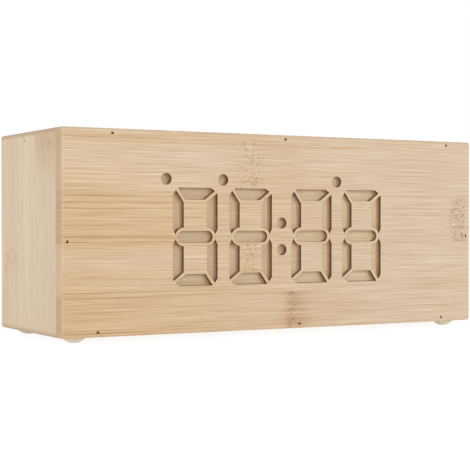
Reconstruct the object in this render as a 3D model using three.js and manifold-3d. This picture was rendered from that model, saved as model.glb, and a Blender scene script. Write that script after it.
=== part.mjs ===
// A wooden digital alarm clock: a nailed bamboo box whose front board is cut through in the shape of
// four seven-segment digits, with its display, main board, controls and battery case inside.
// Millimetres, +Z up, front towards -Y. The origin is under the middle, where the feet stand.

import * as THREE from "three";
import { mergeVertices } from "three/addons/utils/BufferGeometryUtils.js";
import { RoundedBoxGeometry } from "three/addons/geometries/RoundedBoxGeometry.js";
import Module from "manifold-3d";

const wasm = await Module();
wasm.setup();

// Values that all pieces share
const clearance = 0.3; // seating and running gap round a turned, drilled or moving piece
const overrun = 1; // how far a cutting shape passes the face that it cuts
const weldDistance = 0.0001; // corners closer than this are one corner

// Casing boards
const casingWidth = 172.6;
const casingDepth = 58;
const casingHeight = 70;
const frontThickness = 4.5;
const wallThickness = 5;
const rearThickness = 4.5;
const edgeRadius = 1.2; // sanded round on every outer edge
const cornerBlockSide = 9;
const cornerBlockLength = 18;

// Brad nails that hold the boards, with places as shares of the casing's sides
const bradLength = 15;
const bradWidth = 1;
const bradThickness = 0.6;
const bradSink = 0.3; // head below the face
const bradEdgeDistance = 1.65; // nail to casing edge, along the top and bottom
const bradSideDistance = 2.2; // nail to casing edge, at the two sides
const endBradDrop = 3; // nail in an end board, below the top
const topBradShares = [0.107, 0.503, 0.93];
const bottomBradShares = [0.076, 0.538, 0.916];
const leftBradShare = 0.457;
const rightBradShare = 0.474;
const endBradShare = 0.583;

// Domed feet
const footDiameter = 8;
const footHeight = 2.1;
const footRimHeight = 0.3;
const footFlatDiameter = 2.4;
const footInset = 7.6; // centre from the front, rear and side faces

// Seven-segment digits: one stroke width all round, parted by ribs of wood
const digitWidth = 17.3;
const digitTopMargin = 19.65; // casing's top to the digits
const digitBottomMargin = 16.45; // casing's underside to the digits
const strokeWidth = 3.95;
const ribWidth = 1.3;
const steepRibAngle = 54.8; // degrees from level, top left and bottom right
const shallowRibAngle = 36.5; // degrees from level, top right and bottom left
const steepCornerWidth = 1.6;
const steepCornerHeight = 2.4;
const shallowCornerWidth = 2.6;
const shallowCornerHeight = 1.6;
const waistDepth = 0.8; // notch between an upper and a lower segment
const waistMouth = 5.2;
const waistThroat = 2.4;
const pairPitch = 22.33;
const middlePitch = 25.82; // across the colon
const digitsLeftShift = 1.1; // middle of the four digits from the casing's middle
const dotDiameter = 3.8;
const colonPitch = 9.6;
const indicatorLeft = 11.3; // indicator dot from its digit's centre
const indicatorRise = 3; // indicator dot above the digits

// Display behind the front board
const recessDepth = 3; // face of the front board to the diffuser
const diffuserMargin = 2; // past the outermost cut-outs
const maskMargin = 4.5;
const maskDepth = 8;
const earWidth = 8;
const earHeight = 9;
const circuitThickness = 1.6;
const ledLength = 3;
const ledWidth = 1.5;
const ledHeight = 0.8;
const ledPitch = 5; // between the two lamps of one segment

// Screws
const panHeadDiameter = 5;
const panHeadHeight = 1.8;
const panShankDiameter = 2.4;
const displayScrewLength = 11.6; // under the head
const boardScrewLength = 6;
const rearHeadDiameter = 5.6;
const rearHeadHeight = 1.7;
const rearShankDiameter = 2.8;
const rearScrewLength = 14;
const screwTipLength = 2.2;
const crossLength = 3;
const crossWidth = 0.7;
const crossDepth = 0.9;

// Main board on its bracket, on the inside of the rear board
const mainBoardShare = 0.455; // its middle, from the casing's middle to the left wall
const partGap = 1; // buzzer to the bracket's band
const boardStandoff = 9.2; // board to rear board
const bracketThickness = 2;
const bracketBand = 5;
const postDiameter = 6.4;
const postInset = 4;
const chipLength = 18;
const chipWidth = 7.6;
const chipHeight = 2.3;
const chipLift = 0.3;
const chipLegPitch = 1.27;
const chipLegs = 13;
const chipLegWidth = 0.45;
const chipLegReach = 1.4;
const chipLegThickness = 0.5;
const chipDrop = 8; // chip below the middle of the board
const crystalLength = 10;
const crystalWidth = 4.2;
const crystalHeight = 3.2;
const crystalRise = 8;

// Push buttons and their switches
const buttonDiameter = 6;
const buttonProud = 0.8;
const buttonFillet = 0.6;
const buttonFlangeDiameter = 8;
const buttonFlangeThickness = 1.2;
const buttonTravel = 0.5;
const buttonPitch = 14;
const rowPitch = 16; // row of buttons to the row below it
const switchSide = 6.2;
const switchHeight = 3.6;
const switchWellFloor = 0.6;
const plungerDiameter = 3.5;

// Power socket and buzzer
const socketSide = 9;
const socketNoseDiameter = 7.4;
const socketNoseSink = 0.3;
const socketBoreDiameter = 3.9;
const socketBoreDepth = 9;
const socketPinDiameter = 1.3;
const socketPinSink = 1.5;
const buzzerDiameter = 12;
const buzzerHeight = 8.5;
const buzzerHoleDiameter = 2;
const buzzerHoleDepth = 2.5;
const buzzerFillet = 0.6;
const soundHoleDiameter = 1.6;
const soundRingRadius = 3.6;
const soundRingHoles = 6;

// Battery case for three AAA cells
const caseShare = 0.467; // its middle, from the casing's middle to the right wall
const cellDiameter = 10.5;
const cellLength = 44.5;
const cellButtonDiameter = 3.8;
const cellButtonHeight = 0.9;
const cellShoulder = 0.5;
const cellPitch = 12;
const cellCount = 3;
const caseWall = 3;
const caseLedge = 1.2; // the door rests on this
const caseFloor = 1.5;
const caseFlangeWidth = 4;
const caseFlangeThickness = 1.6;
const contactThickness = 0.4;
const contactSide = 9;
const contactBumpDiameter = 3;
const contactBumpHeight = 0.2;
const springLength = 4.4;
const springBaseRadius = 3.7;
const springTipRadius = 2.1;
const springWire = 0.5;
const springTurns = 4;

// Battery door, which tips out round the tabs on its lower edge
const doorThickness = 1.8;
const tabThickness = 0.9;
const tabLength = 1.4;
const tabWidth = 8;
const tabSpread = 30;
const tabSwing = 0.8; // room behind the tabs as the door tips
const latchWidth = 9;
const latchReach = 1;
const latchSlotWidth = 0.9;
const latchSlotLength = 8;
const gripGrooves = 3;
const gripGroovePitch = 1.6;
const gripGrooveWidth = 0.7;
const gripGrooveDepth = 0.5;
const gripGrooveLength = 6;
const gripDrop = 1.6; // first groove below the door's top edge

// Ribbon cable between the two boards
const ribbonWidth = 12.7;
const ribbonThickness = 0.9;
const ribbonLead = 2; // least straight length at each socket
const ribbonBend = 8; // radius of its two bends
const ribbonDrop = 20;
const ribbonRightShift = 17; // from the middle of the main board
const ribbonRise = 11; // upper socket above the middle of the board
const plugWidth = 15.5;
const plugDepth = 4;
const plugHeight = 5;

// Counts of facets
const roundSides = 20;
const smallSides = 12;
const arcSegments = 4; // an outline's arc gets twice as many facets
const domeRings = 4;
const edgeSegments = 3;
const wireSides = 5;
const wireStepsPerTurn = 8;

// Places that follow from the sizes
const halfWidth = casingWidth / 2;
const innerHalfWidth = halfWidth - wallThickness;
const rearInnerFace = casingDepth - rearThickness;
const boardFace = rearInnerFace - boardStandoff;
const boardBack = boardFace - circuitThickness;
const boardHeight = casingHeight / 2;
const maskFront = frontThickness;
const maskBack = maskFront + maskDepth;
const displayBack = maskBack + circuitThickness;
const strokeHalf = strokeWidth / 2;
const digitHeight = casingHeight - digitTopMargin - digitBottomMargin;
const digitsHeight = digitBottomMargin + digitHeight / 2;
const indicatorHeight = casingHeight - digitTopMargin + indicatorRise;
const windowHalfWidth = digitWidth / 2 - strokeWidth;
const windowHalfHeight = digitHeight / 2 - strokeWidth;
const digitCentres = [
  -middlePitch / 2 - pairPitch,
  -middlePitch / 2,
  middlePitch / 2,
  middlePitch / 2 + pairPitch,
].map((x) => x - digitsLeftShift);
const indicatorDigits = [0, 1, 3];
const dotCentres = [
  [-digitsLeftShift, digitsHeight + colonPitch / 2],
  [-digitsLeftShift, digitsHeight - colonPitch / 2],
  ...indicatorDigits.map((i) => [digitCentres[i] - indicatorLeft, indicatorHeight]),
];
const displayLeft = digitCentres[0] - indicatorLeft - dotDiameter / 2;
const displayRight = digitCentres[3] + digitWidth / 2;
const displayBottom = digitsHeight - digitHeight / 2;
const displayTop = indicatorHeight + dotDiameter / 2;
const boardCentreX = -innerHalfWidth * mainBoardShare;
const boardMargin = bracketBand + partGap + buzzerDiameter / 2;
const mainBoardWidth = 2 * (buttonPitch + boardMargin);
const mainBoardHeight = rowPitch + 2 * boardMargin;
const postX = mainBoardWidth / 2 - postInset;
const postZ = mainBoardHeight / 2 - postInset;
const buttonNames = ["set", "up", "down"];
const buttonPlaces = buttonNames.map((name, i) => ({
  name,
  x: boardCentreX + buttonPitch * (1 - i),
  z: boardHeight + rowPitch / 2,
}));
const flangeFront = rearInnerFace - clearance - buttonFlangeThickness;
const plungerFoot = boardFace + switchWellFloor + buttonTravel + clearance;
const socketX = boardCentreX - buttonPitch;
const buzzerX = boardCentreX + buttonPitch;
const lowerRowHeight = boardHeight - rowPitch / 2;
const caseCentreX = innerHalfWidth * caseShare;
const troughRadius = cellDiameter / 2 + clearance;
const cellAxisY = casingDepth - doorThickness - clearance - cellDiameter / 2;
const caseBack = cellAxisY - troughRadius - caseFloor;
const caseInnerHalfLength = (cellLength + springLength) / 2 + contactThickness + clearance;
const caseInnerHalfHeight = ((cellCount - 1) * cellPitch) / 2 + troughRadius;
const caseHalfLength = caseInnerHalfLength + caseWall;
const caseHalfHeight = caseInnerHalfHeight + caseWall;
const doorSeatHalfLength = caseInnerHalfLength + caseLedge;
const doorSeatHalfHeight = caseInnerHalfHeight + caseLedge;
const doorHalfLength = doorSeatHalfLength - clearance;
const doorHalfHeight = doorSeatHalfHeight - clearance;
const doorInnerFace = casingDepth - doorThickness;
const ribbonX = boardCentreX + ribbonRightShift;
const ribbonTop = boardHeight + ribbonRise;
const ribbonBottom = ribbonTop - ribbonDrop;
const cellRows = Array.from({ length: cellCount }, (_, i) => (i - (cellCount - 1) / 2) * cellPitch);

// Materials
function finish(color, roughness, metalness = 0) {
  return new THREE.MeshStandardMaterial({ color, roughness, metalness });
}
const bamboo = finish(0xdcc39b, 0.55);
const blockWood = finish(0xcdb388, 0.7);
const bradSteel = finish(0x4a3524, 0.5, 0.6);
const clearRubber = finish(0xd9cfae, 0.3);
const opalSheet = finish(0xc9b893, 0.45);
const whitePlastic = finish(0xf2f0ea, 0.6);
const circuitGreen = finish(0x1f6b45, 0.45);
const screwSteel = finish(0xa9a9ad, 0.35, 0.9);
const blackPlastic = finish(0x1c1c1e, 0.5);
const contactNickel = finish(0xc4c2b8, 0.3, 0.9);
const cellWrap = finish(0x8a8f96, 0.4, 0.3);
const ribbonGrey = finish(0x9a9a9c, 0.6);

// A closed geometry as a solid that can be joined and cut
function solid(geometry) {
  const bare = new THREE.BufferGeometry();
  bare.setAttribute("position", geometry.getAttribute("position"));
  bare.setIndex(geometry.index);
  const merged = mergeVertices(bare, weldDistance);
  const corners = merged.index.array;
  const kept = [];
  for (let i = 0; i < corners.length; i += 3) {
    const [a, b, c] = [corners[i], corners[i + 1], corners[i + 2]];
    if (a !== b && b !== c && c !== a) kept.push(a, b, c);
  }
  const vertProperties = merged.getAttribute("position").array;
  const triVerts = new Uint32Array(kept);
  return new wasm.Manifold(new wasm.Mesh({ numProp: 3, vertProperties, triVerts }));
}

function geometryOf(shape) {
  const mesh = shape.getMesh();
  const geometry = new THREE.BufferGeometry();
  geometry.setAttribute("position", new THREE.BufferAttribute(new Float32Array(mesh.vertProperties), 3));
  geometry.setIndex(new THREE.BufferAttribute(new Uint32Array(mesh.triVerts), 1));
  return geometry;
}

function piece(name, shape, material) {
  const geometry = geometryOf(shape).toNonIndexed();
  geometry.computeVertexNormals();
  const mesh = new THREE.Mesh(geometry, material);
  mesh.name = name;
  return mesh;
}

const join = (shapes) => shapes.reduce((whole, shape) => whole.add(shape));
const cut = (body, shapes) => shapes.reduce((rest, shape) => rest.subtract(shape), body);

// A square-edged block between two corners
function block(x0, x1, y0, y1, z0, z1) {
  const geometry = new THREE.BoxGeometry();
  const position = geometry.getAttribute("position");
  for (let i = 0; i < position.count; i += 1) {
    const x = position.getX(i) > 0 ? x1 : x0;
    const y = position.getY(i) > 0 ? y1 : y0;
    const z = position.getZ(i) > 0 ? z1 : z0;
    position.setXYZ(i, x, y, z);
  }
  return solid(geometry);
}

// An outline drawn in X and Z, carried through from one depth to another
function alongY(outline, y0, y1) {
  const geometry = new THREE.ExtrudeGeometry(outline, {
    depth: y1 - y0,
    bevelEnabled: false,
    curveSegments: arcSegments,
  });
  const turn = new THREE.Matrix4().makeBasis(
    new THREE.Vector3(1, 0, 0),
    new THREE.Vector3(0, 0, 1),
    new THREE.Vector3(0, -1, 0),
  );
  return geometry.applyMatrix4(turn).translate(0, y1, 0);
}

// An outline drawn in Y and Z, carried through from one X to another
function alongX(outline, x0, x1) {
  const geometry = new THREE.ExtrudeGeometry(outline, {
    depth: x1 - x0,
    bevelEnabled: false,
    curveSegments: arcSegments,
  });
  const turn = new THREE.Matrix4().makeBasis(
    new THREE.Vector3(0, 1, 0),
    new THREE.Vector3(0, 0, 1),
    new THREE.Vector3(1, 0, 0),
  );
  return geometry.applyMatrix4(turn).translate(x0, 0, 0);
}

// A round bar or drill hole along Y
function rod(x, z, radius, y0, y1, sides = roundSides) {
  const geometry = new THREE.CylinderGeometry(radius, radius, y1 - y0, sides);
  return solid(geometry.translate(x, (y0 + y1) / 2, z));
}

// A turned form about the Y axis, from points of radius and depth
function lathe(points, sides = roundSides) {
  const profile = points.map(([r, y]) => new THREE.Vector2(r, y));
  return new THREE.LatheGeometry(profile, sides);
}

function polygon(points) {
  return new THREE.Shape(points.map(([x, z]) => new THREE.Vector2(x, z)));
}

// A bar with round ends: two half circles at the ends of a straight middle
function stadium(halfStraight, radius) {
  const shape = new THREE.Shape();
  shape.absarc(halfStraight, 0, radius, -Math.PI / 2, Math.PI / 2, false);
  shape.absarc(-halfStraight, 0, radius, Math.PI / 2, (3 * Math.PI) / 2, false);
  return shape;
}

// The casing's outer form with every edge sanded round, in which all boards end
const easedBlank = solid(
  new RoundedBoxGeometry(casingWidth, casingDepth, casingHeight, edgeSegments, edgeRadius).translate(
    0,
    casingDepth / 2,
    casingHeight / 2,
  ),
);

// The seven cut-outs of one digit, centred on X = Z = 0: a chamfered ring less its window, its
// four ribs, the rib round the middle bar and the notches at the waist, plus the middle bar
function digitCutout(y0, y1) {
  const w = digitWidth / 2;
  const h = digitHeight / 2;
  const ring = polygon([
    [-w, h - steepCornerHeight],
    [-w, -h + shallowCornerHeight],
    [-w + shallowCornerWidth, -h],
    [w - steepCornerWidth, -h],
    [w, -h + steepCornerHeight],
    [w, h - shallowCornerHeight],
    [w - shallowCornerWidth, h],
    [-w + steepCornerWidth, h],
  ]);
  const notch = polygon([
    [w + overrun, -waistMouth / 2],
    [w + overrun, waistMouth / 2],
    [w, waistMouth / 2],
    [w - waistDepth, waistThroat / 2],
    [w - waistDepth, -waistThroat / 2],
    [w, -waistMouth / 2],
  ]);
  const ribs = [
    [-windowHalfWidth, windowHalfHeight, -steepRibAngle],
    [windowHalfWidth, -windowHalfHeight, -steepRibAngle],
    [windowHalfWidth, windowHalfHeight, shallowRibAngle],
    [-windowHalfWidth, -windowHalfHeight, shallowRibAngle],
  ].map(([x, z, angle]) => {
    const rib = new THREE.BoxGeometry(strokeWidth * 4, y1 - y0 + overrun, ribWidth);
    rib.rotateY(-THREE.MathUtils.degToRad(angle));
    return solid(rib.translate(x, (y0 + y1) / 2, z));
  });
  const notchCut = alongY(notch, y0 - overrun, y1 + overrun);
  const ends = [
    solid(notchCut.clone()),
    solid(notchCut.clone().rotateZ(Math.PI).translate(0, y0 + y1, 0)),
  ];
  const window = block(
    -windowHalfWidth,
    windowHalfWidth,
    y0 - overrun,
    y1 + overrun,
    -windowHalfHeight,
    windowHalfHeight,
  );
  const waist = solid(alongY(stadium(windowHalfWidth, strokeHalf + ribWidth), y0 - overrun, y1 + overrun));
  const bar = solid(alongY(stadium(windowHalfWidth, strokeHalf), y0, y1));
  return geometryOf(cut(solid(alongY(ring, y0, y1)), [window, ...ribs, waist, ...ends]).add(bar));
}

// All 28 segments and five dots, through from one depth to another
function displayCutouts(y0, y1) {
  const digit = digitCutout(y0, y1);
  const digits = digitCentres.map((x) => solid(digit.clone().translate(x, 0, digitsHeight)));
  const dots = dotCentres.map(([x, z]) => rod(x, z, dotDiameter / 2, y0, y1));
  return [...digits, ...dots];
}

// Where each brad enters: its middle on the face that it is driven through
const frontBrads = [
  ...topBradShares.map((share, i) => ({
    name: `front_brad_top_${i + 1}`,
    x: casingWidth * share - halfWidth,
    z: casingHeight - bradEdgeDistance,
    upright: false,
  })),
  ...bottomBradShares.map((share, i) => ({
    name: `front_brad_bottom_${i + 1}`,
    x: casingWidth * share - halfWidth,
    z: bradEdgeDistance,
    upright: false,
  })),
  {
    name: "front_brad_left",
    x: -halfWidth + bradSideDistance,
    z: casingHeight * leftBradShare,
    upright: true,
  },
  {
    name: "front_brad_right",
    x: halfWidth - bradSideDistance,
    z: casingHeight * rightBradShare,
    upright: true,
  },
];
const endBrads = [
  { name: "end_brad_left", side: -1 },
  { name: "end_brad_right", side: 1 },
];

// A brad driven from the front, or the slot that it makes, which starts at the face
function frontBradShape({ x, z, upright }, start) {
  const halfX = (upright ? bradThickness : bradWidth) / 2;
  const halfZ = (upright ? bradWidth : bradThickness) / 2;
  return block(x - halfX, x + halfX, start, bradSink + bradLength, z - halfZ, z + halfZ);
}

// A brad driven through an end board into the edge of the top board
function endBradShape({ side }, start) {
  const near = side * (halfWidth - start);
  const far = side * (halfWidth - bradSink - bradLength);
  const y = casingDepth * endBradShare;
  const z = casingHeight - endBradDrop;
  return block(
    Math.min(near, far),
    Math.max(near, far),
    y - bradThickness / 2,
    y + bradThickness / 2,
    z - bradWidth / 2,
    z + bradWidth / 2,
  );
}

function bradSlots() {
  const fronts = frontBrads.map((place) => frontBradShape(place, -overrun));
  const ends = endBrads.map((place) => endBradShape(place, -overrun));
  return [...fronts, ...ends];
}

function brads() {
  const fronts = frontBrads.map((place) => piece(place.name, frontBradShape(place, bradSink), bradSteel));
  const ends = endBrads.map((place) => piece(place.name, endBradShape(place, bradSink), bradSteel));
  return [...fronts, ...ends];
}

// The four screws at the display's ears, also the pilot holes in the front board
const earX = [displayLeft - maskMargin - earWidth / 2, displayRight + maskMargin + earWidth / 2];
const earZ = [displayBottom - maskMargin + earHeight / 2, displayTop + maskMargin - earHeight / 2];
const displayScrewPlaces = earX.flatMap((x) => earZ.map((z) => ({ x, z })));

function frontPanel() {
  const board = block(
    -halfWidth - overrun,
    halfWidth + overrun,
    -overrun,
    frontThickness,
    -overrun,
    casingHeight + overrun,
  );
  const pocket = block(
    displayLeft - diffuserMargin,
    displayRight + diffuserMargin,
    recessDepth,
    frontThickness + overrun,
    displayBottom - diffuserMargin,
    displayTop + diffuserMargin,
  );
  const pilotRadius = panShankDiameter / 2 + clearance;
  const pilotEnd = displayBack - displayScrewLength - clearance;
  const pilots = displayScrewPlaces.map(({ x, z }) =>
    rod(x, z, pilotRadius, pilotEnd, frontThickness + overrun, smallSides),
  );
  const openings = displayCutouts(-overrun, recessDepth + overrun);
  return cut(board.intersect(easedBlank), [pocket, ...openings, ...pilots, ...bradSlots()]);
}

function endPanel(side) {
  const outer = side * (halfWidth + overrun);
  const inner = side * innerHalfWidth;
  const board = block(
    Math.min(outer, inner),
    Math.max(outer, inner),
    frontThickness,
    casingDepth + overrun,
    -overrun,
    casingHeight + overrun,
  );
  return cut(board.intersect(easedBlank), bradSlots());
}

function levelPanel(z0, z1) {
  const board = block(-innerHalfWidth, innerHalfWidth, frontThickness, casingDepth + overrun, z0, z1);
  return cut(board.intersect(easedBlank), bradSlots());
}

// Rear screws, one through each corner of the rear board into a corner block
const rearScrewX = innerHalfWidth - cornerBlockSide / 2;
const rearScrewZ = [wallThickness + cornerBlockSide / 2, casingHeight - wallThickness - cornerBlockSide / 2];
const rearScrewPlaces = [-rearScrewX, rearScrewX].flatMap((x) => rearScrewZ.map((z) => ({ x, z })));

// Profile of a countersunk wood screw whose flat head ends at Y = 0, grown by a margin
function countersunkProfile(margin, top) {
  const head = rearHeadDiameter / 2 + margin;
  const shank = rearShankDiameter / 2 + margin;
  return [
    [0, -rearScrewLength - margin],
    [shank, -rearScrewLength + screwTipLength - margin],
    [shank, -rearHeadHeight],
    [head, 0],
    [head, top],
    [0, top],
  ];
}

// Profile of a pan-head screw whose head rests on Y = 0
function panProfile(length) {
  const head = panHeadDiameter / 2;
  const shank = panShankDiameter / 2;
  return [
    [0, -length],
    [shank, -length + screwTipLength],
    [shank, 0],
    [head, 0],
    [head, panHeadHeight / 2],
    [head - panHeadHeight / 2, panHeadHeight],
    [0, panHeadHeight],
  ];
}

// A turned screw with its cross recess, head towards +Y
function screw(profile, top) {
  const arm = crossLength / 2;
  const wide = crossWidth / 2;
  const cross = [
    block(-arm, arm, top - crossDepth, top + overrun, -wide, wide),
    block(-wide, wide, top - crossDepth, top + overrun, -arm, arm),
  ];
  return cut(solid(lathe(profile, smallSides)), cross);
}

function rearScrewHoles() {
  const hole = lathe(countersunkProfile(clearance, overrun), smallSides);
  return rearScrewPlaces.map(({ x, z }) => solid(hole.clone().translate(x, casingDepth, z)));
}

function cornerBlock(side, z0) {
  const outer = side * innerHalfWidth;
  const inner = side * (innerHalfWidth - cornerBlockSide);
  const body = block(
    Math.min(outer, inner),
    Math.max(outer, inner),
    rearInnerFace - cornerBlockLength,
    rearInnerFace,
    z0,
    z0 + cornerBlockSide,
  );
  return cut(body, rearScrewHoles());
}

// Small holes over the buzzer: one in the middle and a ring round it
function soundHoles() {
  const ring = Array.from({ length: soundRingHoles }, (_, i) => {
    const angle = (2 * Math.PI * i) / soundRingHoles;
    return [soundRingRadius * Math.cos(angle), soundRingRadius * Math.sin(angle)];
  });
  return [[0, 0], ...ring].map(([x, z]) =>
    rod(
      buzzerX + x,
      lowerRowHeight + z,
      soundHoleDiameter / 2,
      rearInnerFace - overrun,
      casingDepth + overrun,
      smallSides / 2,
    ),
  );
}

function rearPanel() {
  const board = block(
    -innerHalfWidth + clearance,
    innerHalfWidth - clearance,
    rearInnerFace,
    casingDepth,
    wallThickness + clearance,
    casingHeight - wallThickness - clearance,
  );
  const window = block(
    caseCentreX - caseHalfLength - clearance,
    caseCentreX + caseHalfLength + clearance,
    rearInnerFace - overrun,
    casingDepth + overrun,
    boardHeight - caseHalfHeight - clearance,
    boardHeight + caseHalfHeight + clearance,
  );
  const through = (x, z, radius) => rod(x, z, radius, rearInnerFace - overrun, casingDepth + overrun);
  const buttonHoles = buttonPlaces.map(({ x, z }) => through(x, z, buttonDiameter / 2 + clearance));
  const socketHole = through(socketX, lowerRowHeight, socketNoseDiameter / 2 + clearance);
  return cut(board, [window, ...buttonHoles, socketHole, ...soundHoles(), ...rearScrewHoles()]);
}

// A domed foot, top on Z = 0 and a small flat where it stands
function foot() {
  const rim = footDiameter / 2;
  const flat = footFlatDiameter / 2;
  const rise = footHeight - footRimHeight;
  const centre = (rim * rim - flat * flat - rise * rise) / (2 * rise);
  const radius = Math.hypot(rim, centre);
  const start = Math.asin(flat / radius);
  const end = Math.asin(rim / radius);
  const dome = Array.from({ length: domeRings + 1 }, (_, i) => {
    const angle = start + ((end - start) * i) / domeRings;
    return [radius * Math.sin(angle), centre - footRimHeight - radius * Math.cos(angle)];
  });
  return solid(lathe([[0, -footHeight], ...dome, [rim, 0], [0, 0]]).rotateX(Math.PI / 2));
}

function feet() {
  const near = halfWidth - footInset;
  const places = [
    ["foot_front_left", -near, footInset],
    ["foot_front_right", near, footInset],
    ["foot_rear_left", -near, casingDepth - footInset],
    ["foot_rear_right", near, casingDepth - footInset],
  ];
  return places.map(([name, x, y]) => {
    const mesh = piece(name, foot(), clearRubber);
    mesh.position.set(x, y, 0);
    return mesh;
  });
}

// Thin opal sheet in the pocket behind the cut-outs
function diffuser() {
  const margin = diffuserMargin - clearance;
  return block(
    displayLeft - margin,
    displayRight + margin,
    recessDepth,
    frontThickness,
    displayBottom - margin,
    displayTop + margin,
  );
}

// White moulding with one straight well behind each segment and dot, and a screw ear at each corner
function lightMask() {
  const body = block(
    displayLeft - maskMargin,
    displayRight + maskMargin,
    maskFront,
    maskBack,
    displayBottom - maskMargin,
    displayTop + maskMargin,
  );
  const ears = displayScrewPlaces.map(({ x, z }) =>
    block(
      x - earWidth / 2,
      x + earWidth / 2,
      maskFront,
      maskBack,
      z - earHeight / 2,
      z + earHeight / 2,
    ),
  );
  const holeRadius = panShankDiameter / 2 + clearance;
  const holes = displayScrewPlaces.map(({ x, z }) =>
    rod(x, z, holeRadius, maskFront - overrun, maskBack + overrun, smallSides),
  );
  return cut(join([body, ...ears]), [...displayCutouts(maskFront - overrun, maskBack + overrun), ...holes]);
}

// Centres of the surface-mounted lamps, with true where the pair lies along Z
function ledCentres() {
  const sideX = (digitWidth - strokeWidth) / 2;
  const endZ = (digitHeight - strokeWidth) / 2;
  const loopZ = (windowHalfHeight + strokeHalf + ribWidth) / 2;
  const segments = [
    [0, endZ, false],
    [0, 0, false],
    [0, -endZ, false],
    [-sideX, loopZ, true],
    [sideX, loopZ, true],
    [-sideX, -loopZ, true],
    [sideX, -loopZ, true],
  ];
  const pairs = digitCentres.flatMap((x) =>
    segments.flatMap(([dx, dz, upright]) =>
      [-ledPitch / 2, ledPitch / 2].map((step) => ({
        x: x + dx + (upright ? 0 : step),
        z: digitsHeight + dz + (upright ? step : 0),
        upright,
      })),
    ),
  );
  const singles = dotCentres.map(([x, z]) => ({ x, z, upright: false }));
  return [...pairs, ...singles];
}

// Socket that the ribbon cable's end plugs into, centred on a height
function ribbonSocket(y0, y1, z) {
  return block(
    ribbonX - plugWidth / 2,
    ribbonX + plugWidth / 2,
    y0,
    y1,
    z - plugHeight / 2,
    z + plugHeight / 2,
  );
}

function displayBoard() {
  const board = block(
    earX[0] - earWidth / 2,
    earX[1] + earWidth / 2,
    maskBack,
    displayBack,
    displayBottom - maskMargin,
    displayTop + maskMargin,
  );
  const lamps = ledCentres().map(({ x, z, upright }) => {
    const halfX = (upright ? ledWidth : ledLength) / 2;
    const halfZ = (upright ? ledLength : ledWidth) / 2;
    return block(x - halfX, x + halfX, maskBack - ledHeight, maskBack, z - halfZ, z + halfZ);
  });
  const plug = ribbonSocket(displayBack, displayBack + plugDepth, ribbonTop);
  const holeRadius = panShankDiameter / 2 + clearance;
  const holes = displayScrewPlaces.map(({ x, z }) =>
    rod(x, z, holeRadius, maskBack - overrun, displayBack + overrun, smallSides),
  );
  return cut(join([board, ...lamps, plug]), holes);
}

function displayScrews() {
  return displayScrewPlaces.map(({ x, z }, i) => {
    const shape = screw(panProfile(displayScrewLength), panHeadHeight);
    const mesh = piece(`display_screw_${i + 1}`, shape, screwSteel);
    mesh.position.set(x, displayBack, z);
    return mesh;
  });
}

// The two screws stand at opposite corners of the main board
const boardScrewPlaces = [-1, 1].map((side) => ({
  x: boardCentreX + side * postX,
  z: boardHeight + side * postZ,
}));

// Moulded frame on the rear board with a post at each corner of the main board
function boardBracket() {
  const w = mainBoardWidth / 2;
  const h = mainBoardHeight / 2;
  const front = rearInnerFace - bracketThickness;
  const plate = block(
    boardCentreX - w,
    boardCentreX + w,
    front,
    rearInnerFace,
    boardHeight - h,
    boardHeight + h,
  );
  const window = block(
    boardCentreX - w + bracketBand,
    boardCentreX + w - bracketBand,
    front - overrun,
    rearInnerFace + overrun,
    boardHeight - h + bracketBand,
    boardHeight + h - bracketBand,
  );
  const corners = [-postX, postX].flatMap((dx) =>
    [-postZ, postZ].map((dz) => [boardCentreX + dx, boardHeight + dz]),
  );
  const posts = corners.map(([x, z]) =>
    rod(x, z, postDiameter / 2, boardFace, front + bracketThickness / 2, smallSides),
  );
  const pilotRadius = panShankDiameter / 2 + clearance;
  const pilotEnd = boardBack + boardScrewLength + clearance;
  const pilots = boardScrewPlaces.map(({ x, z }) =>
    rod(x, z, pilotRadius, boardFace - overrun, pilotEnd, smallSides),
  );
  return cut(join([plate.subtract(window), ...posts]), pilots);
}

// Small-outline chip with a row of legs along each long side, on the board's inner face
function driverChip() {
  const z = boardHeight - chipDrop;
  const top = boardBack - chipLift;
  const bottom = top - chipHeight;
  const body = block(
    boardCentreX - chipLength / 2,
    boardCentreX + chipLength / 2,
    bottom,
    top,
    z - chipWidth / 2,
    z + chipWidth / 2,
  );
  const reach = chipWidth / 2 + chipLegReach;
  const legs = Array.from({ length: chipLegs }, (_, i) => {
    const x = boardCentreX + (i - (chipLegs - 1) / 2) * chipLegPitch;
    const half = chipLegWidth / 2;
    return block(x - half, x + half, boardBack - chipLegThickness, boardBack, z - reach, z + reach);
  });
  return join([body, ...legs]);
}

function mainBoard() {
  const w = mainBoardWidth / 2;
  const h = mainBoardHeight / 2;
  const board = block(
    boardCentreX - w,
    boardCentreX + w,
    boardBack,
    boardFace,
    boardHeight - h,
    boardHeight + h,
  );
  const plug = ribbonSocket(boardBack - plugDepth, boardBack, ribbonBottom);
  const crystal = block(
    boardCentreX - crystalLength,
    boardCentreX,
    boardBack - crystalHeight,
    boardBack,
    boardHeight + crystalRise,
    boardHeight + crystalRise + crystalWidth,
  );
  const holeRadius = panShankDiameter / 2 + clearance;
  const holes = boardScrewPlaces.map(({ x, z }) =>
    rod(x, z, holeRadius, boardBack - overrun, boardFace + overrun, smallSides),
  );
  return cut(join([board, plug, driverChip(), crystal]), holes);
}

function boardScrews() {
  return boardScrewPlaces.map(({ x, z }, i) => {
    const shape = screw(panProfile(boardScrewLength), panHeadHeight);
    const mesh = piece(`board_screw_${i + 1}`, shape, screwSteel);
    mesh.rotation.z = Math.PI;
    mesh.position.set(x, boardBack, z);
    return mesh;
  });
}

function switchBody({ x, z }) {
  const half = switchSide / 2;
  const top = boardFace + switchHeight;
  const body = block(x - half, x + half, boardFace, top, z - half, z + half);
  const wellRadius = plungerDiameter / 2 + clearance;
  return body.subtract(rod(x, z, wellRadius, boardFace + switchWellFloor, top + overrun));
}

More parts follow.
